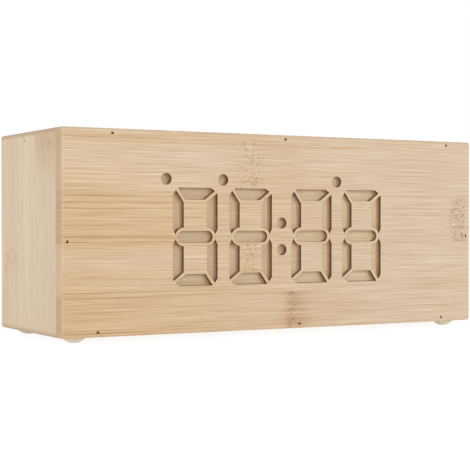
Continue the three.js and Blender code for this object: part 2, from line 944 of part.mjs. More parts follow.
function plunger() {
  return rod(0, 0, plungerDiameter / 2, plungerFoot, flangeFront - clearance, smallSides);
}

// A button cap with the flange that keeps it behind the rear board
function buttonCap() {
  const cap = buttonDiameter / 2;
  const flange = buttonFlangeDiameter / 2;
  const face = casingDepth + buttonProud;
  const middle = buttonFillet * (1 - Math.SQRT1_2);
  return solid(
    lathe([
      [0, flangeFront],
      [flange, flangeFront],
      [flange, flangeFront + buttonFlangeThickness],
      [cap, flangeFront + buttonFlangeThickness],
      [cap, face - buttonFillet],
      [cap - middle, face - middle],
      [cap - buttonFillet, face],
      [0, face],
    ]),
  );
}

function controls() {
  return buttonPlaces.flatMap(({ name, x, z }) => {
    const cap = piece(`button_${name}`, buttonCap(), blackPlastic);
    const stem = piece(`switch_plunger_${name}`, plunger(), blackPlastic);
    cap.position.set(x, 0, z);
    stem.position.set(x, 0, z);
    return [cap, stem, piece(`switch_${name}`, switchBody({ x, z }), blackPlastic)];
  });
}

// Coaxial power socket: a square body on the board, a round nose through the rear board
function powerSocket() {
  const half = socketSide / 2;
  const shoulder = rearInnerFace - clearance;
  const tip = casingDepth - socketNoseSink;
  const body = block(
    socketX - half,
    socketX + half,
    boardFace,
    shoulder,
    lowerRowHeight - half,
    lowerRowHeight + half,
  );
  const nose = rod(socketX, lowerRowHeight, socketNoseDiameter / 2, shoulder - overrun, tip);
  const bore = rod(socketX, lowerRowHeight, socketBoreDiameter / 2, tip - socketBoreDepth, tip + overrun);
  const pin = rod(
    socketX,
    lowerRowHeight,
    socketPinDiameter / 2,
    tip - socketBoreDepth - overrun,
    tip - socketPinSink,
    smallSides,
  );
  return join([body, nose]).subtract(bore).add(pin);
}

function buzzer() {
  const rim = buzzerDiameter / 2;
  const hole = buzzerHoleDiameter / 2;
  const can = lathe([
    [0, 0],
    [rim, 0],
    [rim, buzzerHeight - buzzerFillet],
    [rim - buzzerFillet, buzzerHeight],
    [hole, buzzerHeight],
    [hole, buzzerHeight - buzzerHoleDepth],
    [0, buzzerHeight - buzzerHoleDepth],
  ]);
  const mesh = piece("buzzer", solid(can), blackPlastic);
  mesh.position.set(buzzerX, boardFace, lowerRowHeight);
  return mesh;
}

// Tray with a trough for each cell, a ledge that the door rests on and slots for its tabs.
// It is drawn about X = Z = 0 and set in its window by the battery group.
function batteryCase() {
  const tray = block(-caseHalfLength, caseHalfLength, caseBack, casingDepth, -caseHalfHeight, caseHalfHeight);
  const flange = block(
    -caseHalfLength - caseFlangeWidth,
    caseHalfLength + caseFlangeWidth,
    rearInnerFace - caseFlangeThickness,
    rearInnerFace,
    -caseHalfHeight,
    caseHalfHeight,
  );
  const mouth = block(
    -caseInnerHalfLength,
    caseInnerHalfLength,
    cellAxisY,
    casingDepth + overrun,
    -caseInnerHalfHeight,
    caseInnerHalfHeight,
  );
  const troughLength = caseInnerHalfLength * 2;
  const troughs = cellRows.map((z) => {
    const trough = new THREE.CylinderGeometry(troughRadius, troughRadius, troughLength, roundSides);
    return solid(trough.rotateZ(Math.PI / 2).translate(0, cellAxisY, z));
  });
  const contactRoom = contactThickness + clearance;
  const contactSlots = [-1, 1].map((side) => {
    const outer = side * caseInnerHalfLength;
    const inner = side * (caseInnerHalfLength - contactRoom);
    return block(
      Math.min(outer, inner),
      Math.max(outer, inner),
      cellAxisY - troughRadius,
      casingDepth,
      -caseInnerHalfHeight,
      caseInnerHalfHeight,
    );
  });
  const seat = block(
    -doorSeatHalfLength,
    doorSeatHalfLength,
    doorInnerFace,
    casingDepth + overrun,
    -doorSeatHalfHeight,
    doorSeatHalfHeight,
  );
  const tabSlots = [-1, 1].map((side) => {
    const x = (side * tabSpread) / 2;
    return block(
      x - tabWidth / 2 - clearance,
      x + tabWidth / 2 + clearance,
      doorInnerFace - tabSwing,
      doorInnerFace + tabThickness + clearance,
      -doorHalfHeight - tabLength - clearance,
      -caseInnerHalfHeight + overrun,
    );
  });
  const latchNotch = block(
    -latchWidth / 2 - clearance,
    latchWidth / 2 + clearance,
    doorInnerFace,
    casingDepth + overrun,
    0,
    doorHalfHeight + latchReach + clearance,
  );
  return cut(join([tray, flange]), [mouth, ...troughs, ...contactSlots, seat, ...tabSlots, latchNotch]);
}

// Flat door with two tabs below, and a sprung tongue above that ends in the latch nose
function batteryDoor() {
  const plate = block(
    -doorHalfLength,
    doorHalfLength,
    doorInnerFace,
    casingDepth,
    -doorHalfHeight,
    doorHalfHeight,
  );
  const tabs = [-1, 1].map((side) => {
    const x = (side * tabSpread) / 2;
    return block(
      x - tabWidth / 2,
      x + tabWidth / 2,
      doorInnerFace,
      doorInnerFace + tabThickness,
      -doorHalfHeight - tabLength,
      -doorHalfHeight,
    );
  });
  const nose = block(
    -latchWidth / 2,
    latchWidth / 2,
    doorInnerFace,
    casingDepth,
    doorHalfHeight,
    doorHalfHeight + latchReach,
  );
  const slots = [-1, 1].map((side) => {
    const x = side * (latchWidth / 2 + latchSlotWidth / 2);
    return block(
      x - latchSlotWidth / 2,
      x + latchSlotWidth / 2,
      doorInnerFace - overrun,
      casingDepth + overrun,
      doorHalfHeight - latchSlotLength,
      doorHalfHeight + overrun,
    );
  });
  const grooves = Array.from({ length: gripGrooves }, (_, i) => {
    const z = doorHalfHeight - gripDrop - i * gripGroovePitch;
    return block(
      -gripGrooveLength / 2,
      gripGrooveLength / 2,
      casingDepth - gripGrooveDepth,
      casingDepth + overrun,
      z - gripGrooveWidth,
      z,
    );
  });
  return cut(join([plate, ...tabs, nose]), [...slots, ...grooves]);
}

// A cell that stands on Y = 0 with its button up, later laid along X
function cell() {
  const can = cellDiameter / 2;
  const shoulder = cellLength - cellButtonHeight;
  return lathe([
    [0, 0],
    [can - cellShoulder, 0],
    [can, cellShoulder],
    [can, shoulder - cellShoulder],
    [can - cellShoulder, shoulder],
    [cellButtonDiameter / 2, shoulder],
    [cellButtonDiameter / 2, cellLength],
    [0, cellLength],
  ]);
}

// Conical coil that winds from its plate towards the cell, about the X axis
class CoilCurve extends THREE.Curve {
  getPoint(t, target = new THREE.Vector3()) {
    const radius = springBaseRadius + (springTipRadius - springBaseRadius) * t;
    const angle = 2 * Math.PI * springTurns * t;
    const start = contactThickness / 2;
    const along = start + (springLength + contactThickness - springWire / 2 - start) * t;
    return target.set(along, radius * Math.cos(angle), radius * Math.sin(angle));
  }
}

function coil() {
  const section = Array.from({ length: wireSides }, (_, i) => {
    const angle = (2 * Math.PI * i) / wireSides;
    return [(springWire / 2) * Math.cos(angle), (springWire / 2) * Math.sin(angle)];
  });
  return new THREE.ExtrudeGeometry(polygon(section), {
    steps: springTurns * wireStepsPerTurn,
    bevelEnabled: false,
    extrudePath: new CoilCurve(),
  });
}

// Least distance between two turns of the coil, less the wire
function coilGap() {
  const points = new CoilCurve().getPoints(springTurns * wireStepsPerTurn);
  let least = Infinity;
  for (let i = 0; i < points.length; i += 1) {
    for (let j = i + wireStepsPerTurn / 2; j < points.length; j += 1) {
      least = Math.min(least, points[i].distanceTo(points[j]));
    }
  }
  return least - springWire;
}
console.log(`battery spring: least gap between turns ${coilGap().toFixed(2)} mm`);

// A sheet contact at one end of the case, over one or two rows of cells: a raised bump meets
// a cell's button and a coil presses on a cell's flat end
function contact({ end, rows, springRow, bumpRow }) {
  const wall = end * caseInnerHalfLength;
  const inner = end * (caseInnerHalfLength - contactThickness);
  const low = cellRows[rows[0]] - contactSide / 2;
  const high = cellRows[rows[rows.length - 1]] + contactSide / 2;
  const plate = block(
    Math.min(wall, inner),
    Math.max(wall, inner),
    cellAxisY - contactSide / 2,
    cellAxisY + contactSide / 2,
    low,
    high,
  );
  const parts = [plate];
  if (springRow !== undefined) {
    const spring = coil();
    if (end > 0) spring.rotateZ(Math.PI);
    parts.push(solid(spring.translate(wall, cellAxisY, cellRows[springRow])));
  }
  if (bumpRow !== undefined) {
    const radius = contactBumpDiameter / 2;
    const length = contactThickness + contactBumpHeight;
    const bump = new THREE.CylinderGeometry(radius, radius, length, smallSides);
    const x = end * (caseInnerHalfLength - length / 2);
    parts.push(solid(bump.rotateZ(Math.PI / 2).translate(x, cellAxisY, cellRows[bumpRow])));
  }
  return join(parts);
}

// Cells in series: each one's button faces the other way from its neighbour's
function batteryPack() {
  const group = new THREE.Group();
  group.add(piece("battery_case", batteryCase(), blackPlastic));
  group.add(piece("battery_door", batteryDoor(), blackPlastic));
  cellRows.forEach((z, i) => {
    const end = i % 2 === 0 ? 1 : -1;
    const mesh = piece(`battery_${i + 1}`, solid(cell().rotateZ((-end * Math.PI) / 2)), cellWrap);
    const tip = caseInnerHalfLength - contactThickness - clearance;
    mesh.position.set(end * (tip - cellLength), cellAxisY, z);
    group.add(mesh);
  });
  const contacts = {
    contact_positive: { end: 1, rows: [0], bumpRow: 0 },
    contact_lower_link: { end: -1, rows: [0, 1], springRow: 0, bumpRow: 1 },
    contact_upper_link: { end: 1, rows: [1, 2], springRow: 1, bumpRow: 2 },
    contact_negative: { end: -1, rows: [2], springRow: 2 },
  };
  Object.entries(contacts).forEach(([name, layout]) => {
    group.add(piece(name, contact(layout), contactNickel));
  });
  group.position.set(caseCentreX, 0, boardHeight);
  return group;
}

// Flat cable in an S between the boards: out of one socket, down, and into the other
function ribbonCable() {
  const start = displayBack + plugDepth + clearance;
  const end = boardBack - plugDepth - clearance;
  const middle = (start + end) / 2;
  const lead = Math.max(ribbonLead, middle - start - ribbonBend);
  const radius = middle - start - lead;
  const half = ribbonThickness / 2;
  const top = ribbonTop;
  const bottom = ribbonBottom;
  const outline = new THREE.Shape();
  outline.moveTo(start, top - half);
  outline.lineTo(start + lead, top - half);
  outline.absarc(start + lead, top - radius, radius - half, Math.PI / 2, 0, true);
  outline.lineTo(middle - half, bottom + radius);
  outline.absarc(end - lead, bottom + radius, radius + half, Math.PI, (3 * Math.PI) / 2, false);
  outline.lineTo(end, bottom - half);
  outline.lineTo(end, bottom + half);
  outline.absarc(end - lead, bottom + radius, radius - half, (3 * Math.PI) / 2, Math.PI, true);
  outline.lineTo(middle + half, top - radius);
  outline.absarc(start + lead, top - radius, radius + half, 0, Math.PI / 2, false);
  outline.lineTo(start, top + half);
  return solid(alongX(outline, ribbonX - ribbonWidth / 2, ribbonX + ribbonWidth / 2));
}

function rearScrews() {
  return rearScrewPlaces.map(({ x, z }, i) => {
    const mesh = piece(`rear_screw_${i + 1}`, screw(countersunkProfile(0, 0), 0), screwSteel);
    mesh.position.set(x, casingDepth, z);
    return mesh;
  });
}

function casing() {
  const group = new THREE.Group();
  group.add(
    piece("front_panel", frontPanel(), bamboo),
    piece("left_panel", endPanel(-1), bamboo),
    piece("right_panel", endPanel(1), bamboo),
    piece("bottom_panel", levelPanel(-overrun, wallThickness), bamboo),
    piece("top_panel", levelPanel(casingHeight - wallThickness, casingHeight + overrun), bamboo),
    piece("rear_panel", rearPanel(), bamboo),
    piece("corner_block_1", cornerBlock(-1, wallThickness), blockWood),
    piece("corner_block_2", cornerBlock(1, wallThickness), blockWood),
    piece("corner_block_3", cornerBlock(-1, casingHeight - wallThickness - cornerBlockSide), blockWood),
    piece("corner_block_4", cornerBlock(1, casingHeight - wallThickness - cornerBlockSide), blockWood),
    ...brads(),
    ...feet(),
    ...rearScrews(),
  );
  return group;
}

function display() {
  const group = new THREE.Group();
  group.add(
    piece("diffuser", diffuser(), opalSheet),
    piece("light_mask", lightMask(), whitePlastic),
    piece("display_board", displayBoard(), circuitGreen),
    ...displayScrews(),
  );
  return group;
}

function electronics() {
  const group = new THREE.Group();
  group.add(
    piece("board_bracket", boardBracket(), whitePlastic),
    piece("main_board", mainBoard(), circuitGreen),
    ...boardScrews(),
    ...controls(),
    piece("power_socket", powerSocket(), blackPlastic),
    buzzer(),
    piece("ribbon_cable", ribbonCable(), ribbonGrey),
  );
  return group;
}

const clock = new THREE.Group();
clock.add(casing(), display(), electronics(), batteryPack());
clock.position.set(0, -(casingDepth + buttonProud) / 2, footHeight);

const root = new THREE.Group();
root.add(clock);

export default root;
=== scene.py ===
# A wooden digital alarm clock: a nailed bamboo box whose front board is cut through in the shape of
# four seven-segment digits. Metres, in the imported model's frame: +Z up, front towards -Y.
import math
from dataclasses import dataclass

import bmesh
import bpy
from mathutils import Matrix, Vector


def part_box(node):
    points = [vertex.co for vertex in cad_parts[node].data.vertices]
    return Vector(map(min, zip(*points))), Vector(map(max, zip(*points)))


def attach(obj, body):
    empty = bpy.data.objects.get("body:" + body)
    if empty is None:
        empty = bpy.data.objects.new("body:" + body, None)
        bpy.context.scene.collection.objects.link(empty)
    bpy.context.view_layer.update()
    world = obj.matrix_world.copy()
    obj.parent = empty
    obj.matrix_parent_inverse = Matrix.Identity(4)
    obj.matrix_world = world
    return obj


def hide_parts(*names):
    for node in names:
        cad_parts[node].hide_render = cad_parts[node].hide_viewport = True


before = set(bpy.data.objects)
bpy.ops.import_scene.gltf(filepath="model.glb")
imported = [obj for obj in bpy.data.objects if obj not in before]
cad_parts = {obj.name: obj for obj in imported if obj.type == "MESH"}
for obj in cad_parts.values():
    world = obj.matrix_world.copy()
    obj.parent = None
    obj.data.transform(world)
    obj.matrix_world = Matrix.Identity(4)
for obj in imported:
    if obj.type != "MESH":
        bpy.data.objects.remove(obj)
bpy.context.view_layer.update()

# Front board: one board of flat-pressed bamboo whose strips lie level, nailed to the edges of the box
# and sanded flush. A laser cuts the digits and dots through it and singes their walls, and a pocket
# milled from behind holds the diffuser.
mm = 0.001
X, Y, Z = 0, 1, 2
front_low, front_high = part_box("front_panel")
casing_low = front_low
casing_high = Vector((front_high.x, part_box("left_panel")[1].y, front_high.z))
casing_middle = (casing_low.x + casing_high.x) / 2
sanded_round = 1 * mm
sanding_steps = 6
sawn_edge_round = 0.06 * mm
round_steps = 24
smooth_angle = math.radians(35)
sharp_angle = math.radians(70)
flat_angle = math.radians(0.5)
overrun = 1 * mm
speck = 0.001 * mm
broad_face_weight = 100

digit_width = 17.3 * mm
digit_height = 33.9 * mm
digits_middle = front_low.z + 33.4 * mm
digits_left_shift = 1.1 * mm
pair_pitch = 22.33 * mm
middle_pitch = 25.82 * mm
stroke_width = 3.95 * mm
rib_width = 1.3 * mm
rib_length = 4 * stroke_width
steep_rib = math.radians(54.8)
shallow_rib = math.radians(36.5)
steep_corner = (1.6 * mm, 2.4 * mm)
shallow_corner = (2.6 * mm, 1.6 * mm)
waist_depth = 0.8 * mm
waist_mouth = 5.2 * mm
waist_throat = 2.4 * mm
dot_diameter = 3.8 * mm
colon_pitch = 9.6 * mm
indicator_left = 11.3 * mm
indicator_rise = 19.95 * mm
cut_corner_round = 0.15 * mm
singed_rim = 0.09 * mm
facing_front = 0.98
pocket_room = 0.3 * mm
pocket_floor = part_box("diffuser")[0].y


def round_off(shape, edges, width, steps=2, **limits):
    """Rounds some edges of a body."""
    bmesh.ops.bevel(
        shape, geom=edges, offset=width, segments=steps, profile=0.5, affect="EDGES", **limits
    )


def sanded_block():
    """The whole casing as one block, with every outer edge sanded round."""
    shape = bmesh.new()
    bmesh.ops.create_cube(shape, size=1)
    for corner in shape.verts:
        corner.co = Vector([casing_low[i] if corner.co[i] < 0 else casing_high[i] for i in (X, Y, Z)])
    round_off(shape, shape.edges[:], sanded_round, sanding_steps)
    return shape


def saw(shape, axis, place, outward):
    """Takes away what lies beyond a level on one axis and closes the cut."""
    direction = Vector((0, 0, 0))
    direction[axis] = outward
    result = bmesh.ops.bisect_plane(
        shape,
        geom=shape.verts[:] + shape.edges[:] + shape.faces[:],
        plane_co=direction * outward * place,
        plane_no=direction,
        clear_outer=True,
    )
    rim = [part for part in result["geom_cut"] if isinstance(part, bmesh.types.BMEdge)]
    bmesh.ops.edgeloop_fill(shape, edges=rim)


def ease_sharp_edges(shape, width):
    """Rounds each sharp edge of a body a little."""
    edges = [e for e in shape.edges if e.is_manifold and e.calc_face_angle() > sharp_angle]
    round_off(shape, edges, width)


def rims(shape, depth):
    """The edges round the face of a body at a depth, and round its holes there."""
    return [
        e
        for e in shape.edges
        if e.is_manifold
        and all(abs(v.co.y - depth) < sawn_edge_round for v in e.verts)
        and e.calc_face_angle() > smooth_angle
    ]


def board(node):
    """A board of the casing: the sanded block sawn down to the node's box, its sawn edges just eased."""
    shape = sanded_block()
    for place, face, outward in zip(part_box(node), (casing_low, casing_high), (-1, 1)):
        for axis in (X, Y, Z):
            if abs(place[axis] - face[axis]) > sawn_edge_round:
                saw(shape, axis, place[axis], outward)
    ease_sharp_edges(shape, sawn_edge_round)
    return shape


def piece(name, shape, *finishes):
    """A shown piece from a finished body, smooth wherever its faces meet gently."""
    bmesh.ops.dissolve_degenerate(shape, edges=shape.edges[:], dist=speck)
    bmesh.ops.recalc_face_normals(shape, faces=shape.faces[:])
    mesh = bpy.data.meshes.new(name)
    shape.to_mesh(mesh)
    shape.free()
    for finish in finishes:
        mesh.materials.append(finish)
    mesh.shade_smooth()
    mesh.set_sharp_from_angle(angle=smooth_angle)
    made = bpy.data.objects.new(name, mesh)
    bpy.context.scene.collection.objects.link(made)
    return made


def level_faces(made):
    """Keeps broad faces flat in shading beside narrow rounded edges."""
    weighting = made.modifiers.new("level faces", "WEIGHTED_NORMAL")
    weighting.keep_sharp = True
    weighting.weight = broad_face_weight


def prism(outline, near, far):
    """A body whose outline in X and Z is carried from one depth to another."""
    shape = bmesh.new()
    rings = [[shape.verts.new((x, y, z)) for x, z in outline] for y in (near, far)]
    shape.faces.new(rings[0])
    shape.faces.new(rings[1])
    for i in range(len(outline)):
        j = (i + 1) % len(outline)
        shape.faces.new((rings[0][i], rings[0][j], rings[1][j], rings[1][i]))
    bmesh.ops.recalc_face_normals(shape, faces=shape.faces[:])
    return shape


def rectangle(x0, x1, z0, z1):
    return [(x0, z0), (x1, z0), (x1, z1), (x0, z1)]


def circle(x, z, radius):
    angles = [math.tau * i / (2 * round_steps) for i in range(2 * round_steps)]
    return [(x + radius * math.cos(a), z + radius * math.sin(a)) for a in angles]


def stadium(half_straight, radius):
    """A bar with round ends, centred on X = Z = 0."""
    turns = [math.pi * (i / round_steps - 0.5) for i in range(round_steps + 1)]
    right = [(half_straight + radius * math.cos(a), radius * math.sin(a)) for a in turns]
    return right + [(-x, -z) for x, z in right]


def moved(shape, place):
    bmesh.ops.translate(shape, verts=shape.verts[:], vec=place)
    return shape


def turned(shape, angle, axis):
    """A body turned about an axis through the origin."""
    bmesh.ops.rotate(shape, verts=shape.verts[:], matrix=Matrix.Rotation(angle, 3, axis))
    return shape


def joined(shapes):
    """Several bodies side by side in one mesh."""
    whole = bmesh.new()
    for shape in shapes:
        mesh = bpy.data.meshes.new("part")
        shape.to_mesh(mesh)
        shape.free()
        whole.from_mesh(mesh)
        bpy.data.meshes.remove(mesh)
    return whole


def carved(body, cutters, operation="DIFFERENCE"):
    """The body less the cutters, which may overlap each other, or fused with them."""
    work = piece("work", body)
    tools = [piece("cutter", cutter) for cutter in cutters]
    for tool in tools:
        carving = work.modifiers.new("carve", "BOOLEAN")
        carving.operation = operation
        carving.solver = "EXACT"
        carving.object = tool
    evaluated = work.evaluated_get(bpy.context.evaluated_depsgraph_get())
    mesh = bpy.data.meshes.new_from_object(evaluated)
    shape = bmesh.new()
    shape.from_mesh(mesh)
    for made in [work, *tools]:
        bpy.data.objects.remove(made)
    bmesh.ops.dissolve_limit(shape, angle_limit=flat_angle, verts=shape.verts[:], edges=shape.edges[:])
    return shape


def digit_cutter(near, far):
    """The seven segments of one digit, centred on X = Z = 0, with their corners a little rounded."""
    w, h = digit_width / 2, digit_height / 2
    window_w, window_h = w - stroke_width, h - stroke_width
    (steep_x, steep_z), (shallow_x, shallow_z) = steep_corner, shallow_corner
    ring = prism(
        [
            (-w, h - steep_z),
            (-w, -h + shallow_z),
            (-w + shallow_x, -h),
            (w - steep_x, -h),
            (w, -h + steep_z),
            (w, h - shallow_z),
            (w - shallow_x, h),
            (-w + steep_x, h),
        ],
        near,
        far,
    )
    low, high = near - overrun, far + overrun
    notch = [
        (w + overrun, -waist_mouth / 2),
        (w + overrun, waist_mouth / 2),
        (w, waist_mouth / 2),
        (w - waist_depth, waist_throat / 2),
        (w - waist_depth, -waist_throat / 2),
        (w, -waist_mouth / 2),
    ]
    ribs = []
    for x, z, slope in (
        (-window_w, window_h, -steep_rib),
        (window_w, -window_h, -steep_rib),
        (window_w, window_h, shallow_rib),
        (-window_w, -window_h, shallow_rib),
    ):
        along = Vector((math.cos(slope), math.sin(slope))) * rib_length / 2
        aside = Vector((-math.sin(slope), math.cos(slope))) * rib_width / 2
        corners = (-along - aside, along - aside, along + aside, -along + aside)
        ribs.append(prism([(x + c.x, z + c.y) for c in corners], low, high))
    cutters = [
        prism(rectangle(-window_w, window_w, -window_h, window_h), low, high),
        *ribs,
        prism(stadium(window_w, stroke_width / 2 + rib_width), low, high),
        prism(notch, low, high),
        prism([(-x, -z) for x, z in notch], low, high),
    ]
    segments = carved(ring, cutters)
    uprights = [
        e
        for e in segments.edges
        if abs(e.verts[0].co.y - e.verts[1].co.y) > overrun and e.calc_face_angle() > smooth_angle
    ]
    round_off(segments, uprights, cut_corner_round, steps=3)
    return joined([segments, prism(stadium(window_w, stroke_width / 2), near, far)])


digit_centres = [
    casing_middle - digits_left_shift + side * (middle_pitch / 2 + outer * pair_pitch)
    for side, outer in ((-1, 1), (-1, 0), (1, 0), (1, 1))
]
colon_x = casing_middle - digits_left_shift
dot_centres = [(colon_x, digits_middle + side * colon_pitch / 2) for side in (-1, 1)] + [
    (digit_centres[i] - indicator_left, digits_middle + indicator_rise) for i in (0, 1, 3)
]
brads = [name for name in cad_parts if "_brad_" in name]
front_brads = [name for name in brads if name.startswith("front_")]


def middle(node):
    low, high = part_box(node)
    return (low + high) / 2


def box_body(low, high):
    return prism(rectangle(low.x, high.x, low.z, high.z), low.y, high.y)


def brad_slot(name):
    """The slot that a brad makes, open at the face that it is driven through."""
    low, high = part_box(name)
    if name == "end_brad_left":
        low.x -= overrun
    elif name == "end_brad_right":
        high.x += overrun
    else:
        low.y -= overrun
    return box_body(low, high)


def front_board():
    """The front board, cut through, with its singed walls on the second finish, pale deep in the cut with
    painted light.
    """
    near, far = front_low.y - overrun, pocket_floor + overrun
    digit = digit_cutter(near, far)
    cutters = [moved(digit.copy(), (x, 0, digits_middle)) for x in digit_centres]
    digit.free()
    cutters += [prism(circle(x, z, dot_diameter / 2), near, far) for x, z in dot_centres]
    slots = [brad_slot(name) for name in front_brads]
    diffuser_low, diffuser_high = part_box("diffuser")
    room = Vector((pocket_room, 0, pocket_room))
    past_back = Vector((0, overrun, 0))
    pocket = box_body(diffuser_low - room, diffuser_high + room + past_back)
    shape = carved(board("front_panel"), [joined(cutters), joined(slots), pocket])

    def in_display(point):
        inside_x = diffuser_low.x < point.x < diffuser_high.x
        return inside_x and diffuser_low.z < point.z < diffuser_high.z

    cut_rims = [e for e in rims(shape, front_low.y) if all(in_display(v.co) for v in e.verts)]
    round_off(shape, cut_rims, singed_rim)
    bmesh.ops.recalc_face_normals(shape, faces=shape.faces[:])
    for face in shape.faces:
        centre = face.calc_center_median()
        if abs(face.normal.y) < facing_front and centre.y < pocket_floor and in_display(centre):
            face.material_index = 1
    return shape


def colour(code):
    """A colour as shown on a screen, from its six hexadecimal digits, as light for the shader."""
    parts = [int(code[i : i + 2], 16) / 255 for i in (0, 2, 4)]
    return [p / 12.92 if p <= 0.04045 else ((p + 0.055) / 1.055) ** 2.4 for p in parts] + [1]


class Finish:
    """A finish built from shader nodes, with places and lengths in millimetres."""

    def __init__(self, name, **settings):
        self.material = bpy.data.materials.new(name)
        self.material.use_nodes = True
        self.nodes = self.material.node_tree.nodes
        self.links = self.material.node_tree.links
        self.nodes.clear()
        self.shader = self.nodes.new("ShaderNodeBsdfPrincipled")
        output = self.nodes.new("ShaderNodeOutputMaterial")
        self.links.new(self.shader.outputs[0], output.inputs["Surface"])
        for socket, value in settings.items():
            self.shader.inputs[socket.replace("_", " ")].default_value = value
        source = self.nodes.new("ShaderNodeTexCoord")
        self.facing = source.outputs["Normal"]
        self.place = self.vector("SCALE", source.outputs["Object"], scale=1 / mm)

    def feed(self, socket, value):
        if isinstance(value, bpy.types.NodeSocket):
            self.links.new(value, socket)
        else:
            socket.default_value = value

    def math(self, operation, *values, clamp=False):
        node = self.nodes.new("ShaderNodeMath")
        node.operation = operation
        node.use_clamp = clamp
        for socket, value in zip(node.inputs, values):
            self.feed(socket, value)
        return node.outputs[0]

    def vector(self, operation, *values, scale=None):
        node = self.nodes.new("ShaderNodeVectorMath")
        node.operation = operation
        for socket, value in zip(node.inputs, values):
            self.feed(socket, value)
        if scale is not None:
            self.feed(node.inputs["Scale"], scale)
        return node.outputs["Value" if operation == "LENGTH" else "Vector"]

    def split(self, value):
        node = self.nodes.new("ShaderNodeSeparateXYZ")
        self.feed(node.inputs[0], value)
        return list(node.outputs)

    def bring(self, x, y=0, z=0):
        node = self.nodes.new("ShaderNodeCombineXYZ")
        for socket, value in zip(node.inputs, (x, y, z)):
            self.feed(socket, value)
        return node.outputs[0]

    def noise(self, place, detail=2):
        node = self.nodes.new("ShaderNodeTexNoise")
        self.feed(node.inputs["Vector"], place)
        node.inputs["Scale"].default_value = 1
        node.inputs["Detail"].default_value = detail
        return node.outputs["Fac"]

    def speckle(self, waves, detail=3):
        """Noise alike in all directions, with about that many waves to a millimetre."""
        return self.noise(self.vector("SCALE", self.place, scale=waves), detail)

    def drawn(self, x, y, z, detail):
        """Noise drawn out to a length in millimetres along each axis, and even along it where that is 0."""
        return self.noise(self.vector("DIVIDE", self.place, (x, y, z)), detail)

    def chance(self, value):
        """Three random numbers from 0 to 1 for each whole number."""
        node = self.nodes.new("ShaderNodeTexWhiteNoise")
        node.noise_dimensions = "1D"
        self.feed(node.inputs["W"], value)
        return self.split(node.outputs["Color"])

    def cells(self, place, randomness=1):
        """Distance from the nearest of many scattered points."""
        node = self.nodes.new("ShaderNodeTexVoronoi")
        self.feed(node.inputs["Vector"], place)
        node.inputs["Scale"].default_value = 1
        node.inputs["Randomness"].default_value = randomness
        return node.outputs["Distance"]

    def rise(self, value, start, end):
        """0 before start, 1 past end, and a soft step between; end may be the smaller."""
        node = self.nodes.new("ShaderNodeMapRange")
        node.interpolation_type = "SMOOTHSTEP"
        self.feed(node.inputs["Value"], value)
        node.inputs["From Min"].default_value = start
        node.inputs["From Max"].default_value = end
        return node.outputs["Result"]

    def bell(self, value):
        """1 at 0, falling off on both sides."""
        square = self.math("MULTIPLY", value, value)
        return self.math("EXPONENT", self.math("MULTIPLY", square, -1))

    def span(self, value, start, end, low, high):
        """Straight from low at start to high at end."""
        node = self.nodes.new("ShaderNodeMapRange")
        self.feed(node.inputs["Value"], value)
        for name, number in zip(("From Min", "From Max", "To Min", "To Max"), (start, end, low, high)):
            node.inputs[name].default_value = number
        return node.outputs["Result"]

    def levels(self, value, stops):
        """A number that runs straight between (place, level) stops, where value and place are 0 to 1."""
        node = self.nodes.new("ShaderNodeValToRGB")
        self.feed(node.inputs["Fac"], value)
        elements = node.color_ramp.elements
        while len(elements) < len(stops):
            elements.new(1)
        for element, (position, level) in zip(elements, stops):
            element.position = position
            element.color = (level, level, level, 1)
        return self.split(node.outputs["Color"])[0]

    def mix(self, share, first, second, blend="MIX"):
        """Two colours mixed; the node's sockets for colours are its inputs 6 and 7 and its output 2."""
        node = self.nodes.new("ShaderNodeMix")
        node.data_type = "RGBA"
        node.blend_type = blend
        for socket, value in ((0, share), (6, first), (7, second)):
            self.feed(node.inputs[socket], value)
        return node.outputs[2]

    def blend(self, value, start, end, first, second):
        """The first colour up to start and the second past end."""
        return self.mix(self.rise(value, start, end), colour(first), colour(second))

    def near(self, points, reach):
        """1 at some (x, z) points of the front, and 0 from some reach round them on."""
        x, _, z = self.split(self.place)
        total = 0
        for px, pz in points:
            aside = self.math("SUBTRACT", x, px / mm)
            above = self.math("SUBTRACT", z, pz / mm)
            spot = self.rise(self.vector("LENGTH", self.bring(aside, 0, above)), reach / mm, 0)
            total = self.math("MAXIMUM", total, spot)
        return total

    def cover(self, shade, roughness, height, relief):
        """Sets the colour, the roughness and a relief, of which height says 0 to 1 how far it stands up."""
        self.feed(self.shader.inputs["Base Color"], shade)
        self.feed(self.shader.inputs["Roughness"], roughness)
        bump = self.nodes.new("ShaderNodeBump")
        bump.inputs["Strength"].default_value = 1
        bump.inputs["Distance"].default_value = relief
        self.feed(bump.inputs["Height"], height)
        self.feed(self.shader.inputs["Normal"], bump.outputs[0])
        return self.material


strip_width = 17.5
front_origin = (front_low.x / mm, front_low.z / mm)
lightest_fibre = colour("ffffff")
darkest_fibre = colour("d5c2a8")
line_half = 0.22
knuckle_fade = 0.8
stain_reach = 0.9 * mm
grain_relief = 0.02 * mm


@dataclass
class Knuckle:
    """One knuckle of a bamboo strip, at u along the fibres and from low to high across them.

    Its halo is tinted with the shade. Short marks of a size, slanted both ways from the middle, fill its
    core, and fleck is how strong they are."""

    u: float
    low: float
    high: float
    halo: float
    tint: float
    shade: str
    bulge: float = 1.2
    core: float = 4
    fleck: float = 0
    dash: str = "c9b08c"
    size: tuple = (0.9, 0.8)
    slant: float = 0


